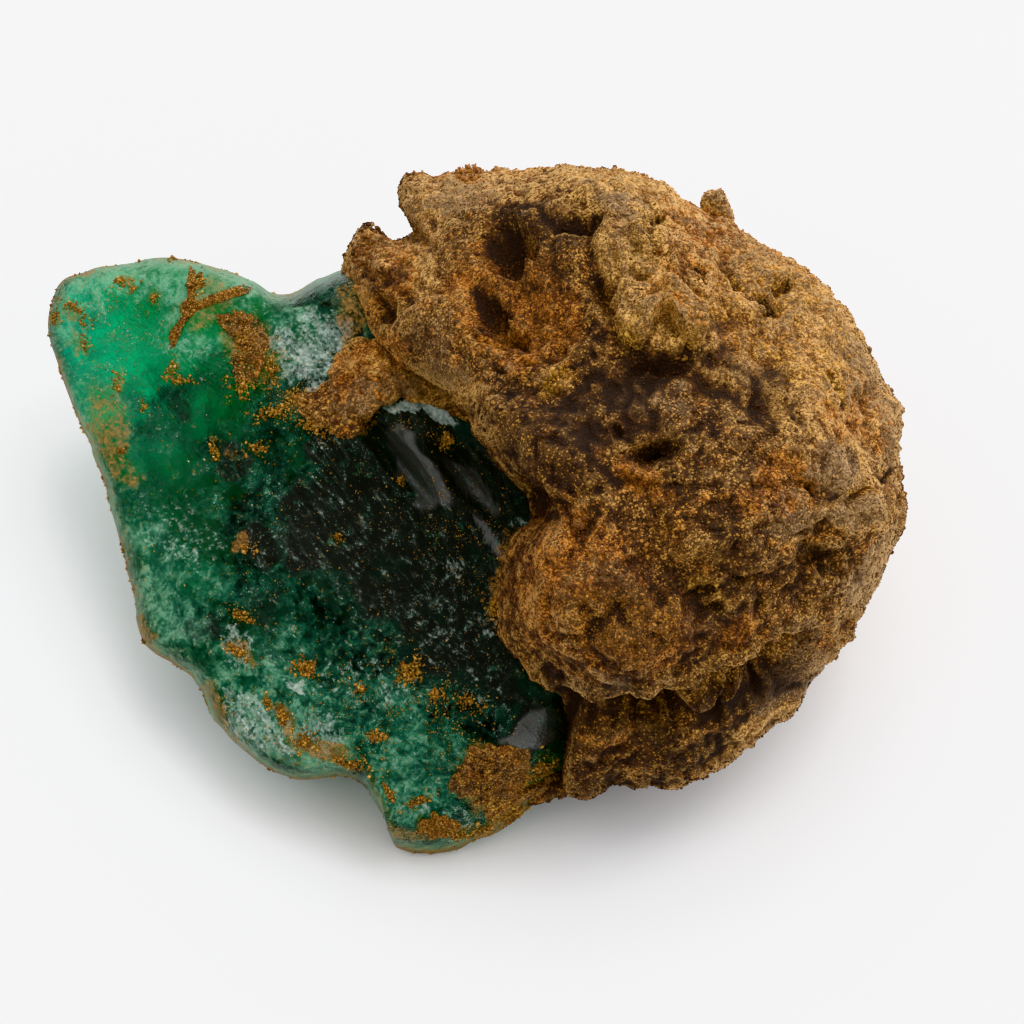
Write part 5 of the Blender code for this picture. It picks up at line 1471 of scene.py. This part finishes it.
class RAW_EMERALD_OT_sand(Operator):
    """Strews sand on the clod and its patches, and dust and small heaps of soil on the crystal"""

    bl_idname = "raw_emerald.sand"
    bl_label = "Strew the Sand"

    seed = 7  # of the random draws
    patch_grains = 1500  # grains on each patch
    rim_grains = 500  # grains along the crystal's rim

    def drift(self, spots, rng):
        """Grains' tones: partly each its own, partly shared by the grains around it, and some bright."""
        shared = 0.28 + 0.3 * value_noise(spots / 0.5, 110) + 0.25 * value_noise(spots / 1.8, 111)
        bright = rng.random(len(spots)) < 0.10 + 0.2 * clipped(value_noise(spots / 1.2, 112))
        return np.minimum(0.3 * rng.random(len(spots)) + 0.6 * shared + 0.5 * bright, BRIGHTEST_TONE)

    def on_clod(self, number, look, rng):
        """One layer of grains on the clod, thick where it is crumbly and thin where it is clay."""

        def weight(middles, normals):
            return np.where(bare(middles, normals, -0.95), 0.0, 0.25 + crumbly_share(middles[:, :2]))

        count = settings().sand.crust_count
        spots, normals = triangle_samples(bpy.data.objects["soil_clod"].data, count, rng, weight)
        zones = soil_zones(spots)
        sizes = grain_sizes(rng, count, *GRAIN_SIZE)
        # Painted shade: grains darker in the shade zones; paler in the pale zones, painted light among them.
        lit = 1.0 - 0.9 * np.minimum(zones["shade"], 1.0) ** 4
        tones = (self.drift(spots, rng) + 0.25 * zones["gold"] + 0.5 * zones["pale"]) * lit
        tones = np.clip(tones - 0.2 * zones["clay"], 0.0, BRIGHTEST_TONE)
        rust = clipped(zones["rust"] + rng.normal(0.0, 0.25, count))
        gold = zones["gold"] * rng.random(count)
        name = f"clod_sand_{number}"
        mesh = grain_mesh(name, spots, normals, sizes, tones, rust, gold, rng)
        show(name, mesh, look, "brown_soil")

    def crumbs(self, look, rng):
        """Loose crumbs on the clod where it is crumbly, and little heaps of them on top."""

        def weight(middles, normals):
            thick = clipped(crumbly_share(middles[:, :2]) - 0.45) + 0.02
            thick = thick * np.clip(0.3 + 1.4 * value_noise(middles / 1.5, 113), 0.05, 1.0)
            return np.where(bare(middles, normals, -0.5), 0.0, thick)

        count = settings().sand.crumb_count
        clod = bpy.data.objects["soil_clod"].data
        piles = [triangle_samples(clod, count, rng, weight)[0]]
        for a, b, spread, height, number in CRUMB_HEAPS:
            place = (a, b, spread, spread, 0.0)

            def in_heap(middles, normals, place=place):
                return np.where((bowl(seen(middles), *place) > 0.0) & (normals[:, 2] > 0.0), 1.0, 0.0)

            ground, normals = triangle_samples(clod, number, rng, in_heap)
            peak = clipped(bowl(seen(ground), *place))
            piles.append(ground + normals * (height * peak * rng.random(number))[:, None])
        spots = np.concatenate(piles)
        count = len(spots)
        zones = soil_zones(spots)
        sizes = grain_sizes(rng, count, *CRUMB_SIZE)
        # Crumbs get the painted shade and light of their zones too.
        tones = self.drift(spots, rng) + 0.2 * zones["gold"] + 0.6 * zones["pale"] - 0.6 * zones["shade"]
        tones = np.clip(tones, 0.0, 0.9)
        rust = clipped(zones["rust"] + rng.normal(0.1, 0.2, count))
        mesh = crumb_mesh("clod_crumbs", spots, sizes, tones, rust, zones["gold"], rng)
        show("clod_crumbs", mesh, look, "brown_soil")

    def on_patches(self, look, rng):
        """Grains on the patches."""
        parts = []
        for node in SOIL_PATCHES:
            mesh = bpy.data.objects[f"{node}_look"].data
            parts.append(triangle_samples(mesh, self.patch_grains, rng, lambda m, n: (n[:, 2] > 0.2) + 0.0))
        spots, normals = (np.concatenate(part) for part in zip(*parts))
        count = len(spots)
        sizes = grain_sizes(rng, count, *GRAIN_SIZE)
        rust, gold = clipped(0.5 + rng.normal(0.0, 0.4, (2, count)))
        mesh = grain_mesh("patch_sand", spots, normals, sizes, rng.random(count), rust, gold, rng)
        show("patch_sand", mesh, look, "brown_soil")

    def strewn(self, rng):
        """Spots on the face: dust, thinly and by zone, then the heaps at the soil spots.

        Returns them with each one's height over the crystal and which of them are in a heap.
        """
        count = settings().sand.dust_count
        low, high = np.min(EMERALD_RIM, axis=0), np.max(EMERALD_RIM, axis=0)
        spread = low + rng.random((12 * count, 2)) * (high - low)
        drift = 0.15 + 1.6 * clipped(value_noise(raised(spread, spread[:, 0]) / 1.1, 115))
        kept = spread[rng.random(len(spread)) < drift * zone_share(spread, DUST_ZONES)][:count]
        heaps, lift = [kept], [np.zeros(len(kept))]
        for a, b, length, width, turn, number in SOIL_SPOTS:
            cos, sin = cos_sin(turn)
            offset = rng.normal(0.0, 0.5, (2 * number, 2)) * (length, width)
            ragged = value_noise(raised(offset, offset[:, 0]) / 0.35 + number, 116)
            offset *= 1.0 + 0.8 * ragged[:, None]
            heaps.append(np.array([a, b]) + offset @ np.array([[cos, sin], [-sin, cos]]))
            peak = np.exp(-2.0 * np.sum((offset / (length, width)) ** 2, axis=1))
            lift.append(0.25 * peak * rng.random(2 * number))
        spots = np.concatenate(heaps)
        return unseen(spots), np.concatenate(lift), np.arange(len(spots)) >= len(kept)

    def along_rim(self, rng):
        """Points along the crystal's rim, in some stretches and not in others."""
        rim = emerald_rim(rng.random(12 * self.rim_grains))
        rim = rim[value_noise(raised(rim, rim[:, 0]) / 1.5, 114) > rng.random(len(rim)) - 0.2]
        rim = rim[:self.rim_grains]
        return raised(rim, 0.25 * rng.normal(size=len(rim)) - rim_fall(rim[:, 1]))

    def on_crystal(self, look, rng):
        """Dust and heaps on the crystal's front and dust along its rim, the largest grains as crumbs."""
        ab, lift, in_heap = self.strewn(rng)
        c, from_rim = crystal_front(ab)
        step = 0.05
        slope = [(crystal_front(ab + move)[0] - c) / step for move in step * np.eye(2)]
        normals = np.column_stack([-slope[0], -slope[1], np.ones(len(ab))])
        normals /= lengths(normals)[:, None]
        good = from_rim > 0.05
        edge = self.along_rim(rng)
        spots = np.concatenate([(raised(ab, c) + normals * lift[:, None])[good], edge])
        normals = np.concatenate([normals[good], np.tile([0.0, 0.0, 1.0], (len(edge), 1))])
        in_heap = np.append(in_heap[good], np.full(len(edge), True))
        big = in_heap & (rng.random(len(spots)) < 0.2)
        sizes = grain_sizes(rng, len(spots), *DUST_SIZE) * np.where(in_heap, 1.6, 1.0)
        tones = np.where(in_heap, 0.25, 0.5) + np.where(in_heap, 0.75, 0.5) * rng.random(len(spots))
        rust = clipped(np.where(in_heap, 0.25, 0.0) + rng.normal(0.0, 0.35, len(spots)))
        gold = clipped(0.75 + rng.normal(0.0, 0.35, len(spots)))
        small = ~big
        mesh = grain_mesh("crystal_dust", spots[small], normals[small], sizes[small], tones[small],
                          rust[small], gold[small], rng)
        show("crystal_dust", mesh, look, "brown_soil")
        sizes = grain_sizes(rng, big.sum(), *DUST_CRUMB_SIZE)
        mesh = crumb_mesh("crystal_crumbs", spots[big], sizes, 0.9 * tones[big], rust[big], gold[big], rng)
        show("crystal_crumbs", mesh, look, "brown_soil")

    def execute(self, context):
        rng = np.random.default_rng(self.seed)
        look = sand_finish("sand_look", settings().soil)
        for number in (1, 2):
            self.on_clod(number, look, rng)
        self.crumbs(look, rng)
        self.on_patches(look, rng)
        self.on_crystal(look, rng)
        return {"FINISHED"}


class RAW_EMERALD_OT_stage(Operator):
    """Sets the stage: a pale floor, soft light mostly from above and behind, and the camera"""

    bl_idname = "raw_emerald.stage"
    bl_label = "Set the Stage"

    floor_gap = 0.02  # how far the floor lies under the specimen, in millimetres
    lens = 139.0  # focal length in millimetres
    lamp_place = (0.26, 0.20, 0.72)
    lamp_side = 0.60
    bright_way = (0.35, 0.05, 0.94)  # towards the brightest part of the room

    def aimed(self, name, data, place, back):
        """Links a lamp or camera at a place, with its back turned to a way."""
        made = bpy.data.objects.new(name, data)
        made.location = place
        made.rotation_mode = "QUATERNION"
        made.rotation_quaternion = Vector(back).to_track_quat("Z", "Y")
        bpy.context.scene.collection.objects.link(made)
        return made

    def lamp(self, tones):
        """A large square lamp that faces the specimen."""
        lamp = bpy.data.lights.new("lamp_above", "AREA")
        lamp.energy = tones.lamp_power
        lamp.size = self.lamp_side
        self.aimed("lamp_above", lamp, self.lamp_place, self.lamp_place)

    def floor(self, tones):
        """A flat square just under the specimen."""
        mesh = bpy.data.meshes.new("floor")
        corners = 0.5 * tones.floor_size * np.array([(-1, -1, 0), (1, -1, 0), (1, 1, 0), (-1, 1, 0)])
        corners[:, 2] = -self.floor_gap * MM
        mesh.from_pydata(corners.tolist(), [], [(0, 1, 2, 3)])
        f = Finish(bpy.data.materials.new("floor_look"))
        rough = f.noise(400.0, 2.0, 0.5, 9.0) * 0.01 + 0.55
        pale = f.principled((*tones.floor_colour, 1.0), rough, Specular_IOR_Level=0.1)
        mesh.materials.append(f.finish(pale))
        made = bpy.data.objects.new("floor", mesh)
        bpy.context.scene.collection.objects.link(made)

    def camera(self):
        """The camera looks square on to the crystal's broad face."""
        back = Vector(face_axes()[2])
        target = Vector(face_to_row(raised(VIEW_AIM[None]))[0])
        camera = bpy.data.cameras.new("camera")
        camera.lens = self.lens
        camera.clip_start = 0.01
        camera.clip_end = 20.0
        bpy.context.scene.camera = self.aimed("camera", camera, target + back * VIEW_DISTANCE * MM, back)

    def sky(self, tones):
        """A white room round the specimen: brightest above and behind, dark where the camera stands."""
        world = bpy.data.worlds.new("studio")
        f = Finish(world, "ShaderNodeOutputWorld", "Generated")

        def toward(way, low, high, least, most):
            """A strength that eases from least to most as the view turns towards a direction."""
            way = Vector(way).normalized()
            dot = f.node("ShaderNodeVectorMath", {"operation": "DOT_PRODUCT"}, f.where, way, out="Value")
            return f.node("ShaderNodeMapRange", {"interpolation_type": "SMOOTHSTEP"}, dot, low, high,
                          least, most)

        light = toward(self.bright_way, -0.1, 0.95, 0.6 * tones.sky, 1.3 * tones.sky)
        light = light * toward(face_axes()[2], 0.82, 0.98, 1.0, 0.3)
        f.finish(f.node("ShaderNodeBackground", None, Color=(1.0, 1.0, 1.0, 1.0), Strength=light))
        bpy.context.scene.world = world

    def execute(self, context):
        tones = settings().stage
        self.floor(tones)
        self.camera()
        self.sky(tones)
        self.lamp(tones)
        context.scene.view_settings.view_transform = "Khronos PBR Neutral"
        return {"FINISHED"}


class RAW_EMERALD_PT_panel(Panel):
    """Lists the builders and their settings in the sidebar"""

    bl_label = "Raw Emerald"
    bl_idname = "RAW_EMERALD_PT_panel"
    bl_space_type = "VIEW_3D"
    bl_region_type = "UI"
    bl_category = "Specimen"

    def draw(self, context):
        every = context.scene.raw_emerald
        for operator, group in PIECES:
            box = self.layout.box()
            box.operator(operator.bl_idname)
            for name in getattr(every, group).__annotations__ if group else ():
                box.prop(getattr(every, group), name)


PIECES = (
    (RAW_EMERALD_OT_crystal, "beryl"),
    (RAW_EMERALD_OT_clod, "soil"),
    (RAW_EMERALD_OT_patches, None),
    (RAW_EMERALD_OT_sand, "sand"),
    (RAW_EMERALD_OT_stage, "stage"),
)
GROUPS = (BerylSettings, SoilSettings, SandSettings, StageSettings, RawEmeraldSettings)


def register():
    """Registers the settings, the operators and the panel."""
    for group in GROUPS:
        bpy.utils.register_class(group)
    bpy.types.Scene.raw_emerald = PointerProperty(type=RawEmeraldSettings)
    for operator, _ in PIECES:
        bpy.utils.register_class(operator)
    bpy.utils.register_class(RAW_EMERALD_PT_panel)


def unregister():
    """Takes them away again, the last first."""
    bpy.utils.unregister_class(RAW_EMERALD_PT_panel)
    for operator, _ in reversed(PIECES):
        bpy.utils.unregister_class(operator)
    del bpy.types.Scene.raw_emerald
    for group in reversed(GROUPS):
        bpy.utils.unregister_class(group)


def main():
    """Registers the add-on and runs its builders in order."""
    register()
    for operator, _ in PIECES:
        area, name = operator.bl_idname.split(".")
        getattr(getattr(bpy.ops, area), name)()


if __name__ == "__main__":
    main()
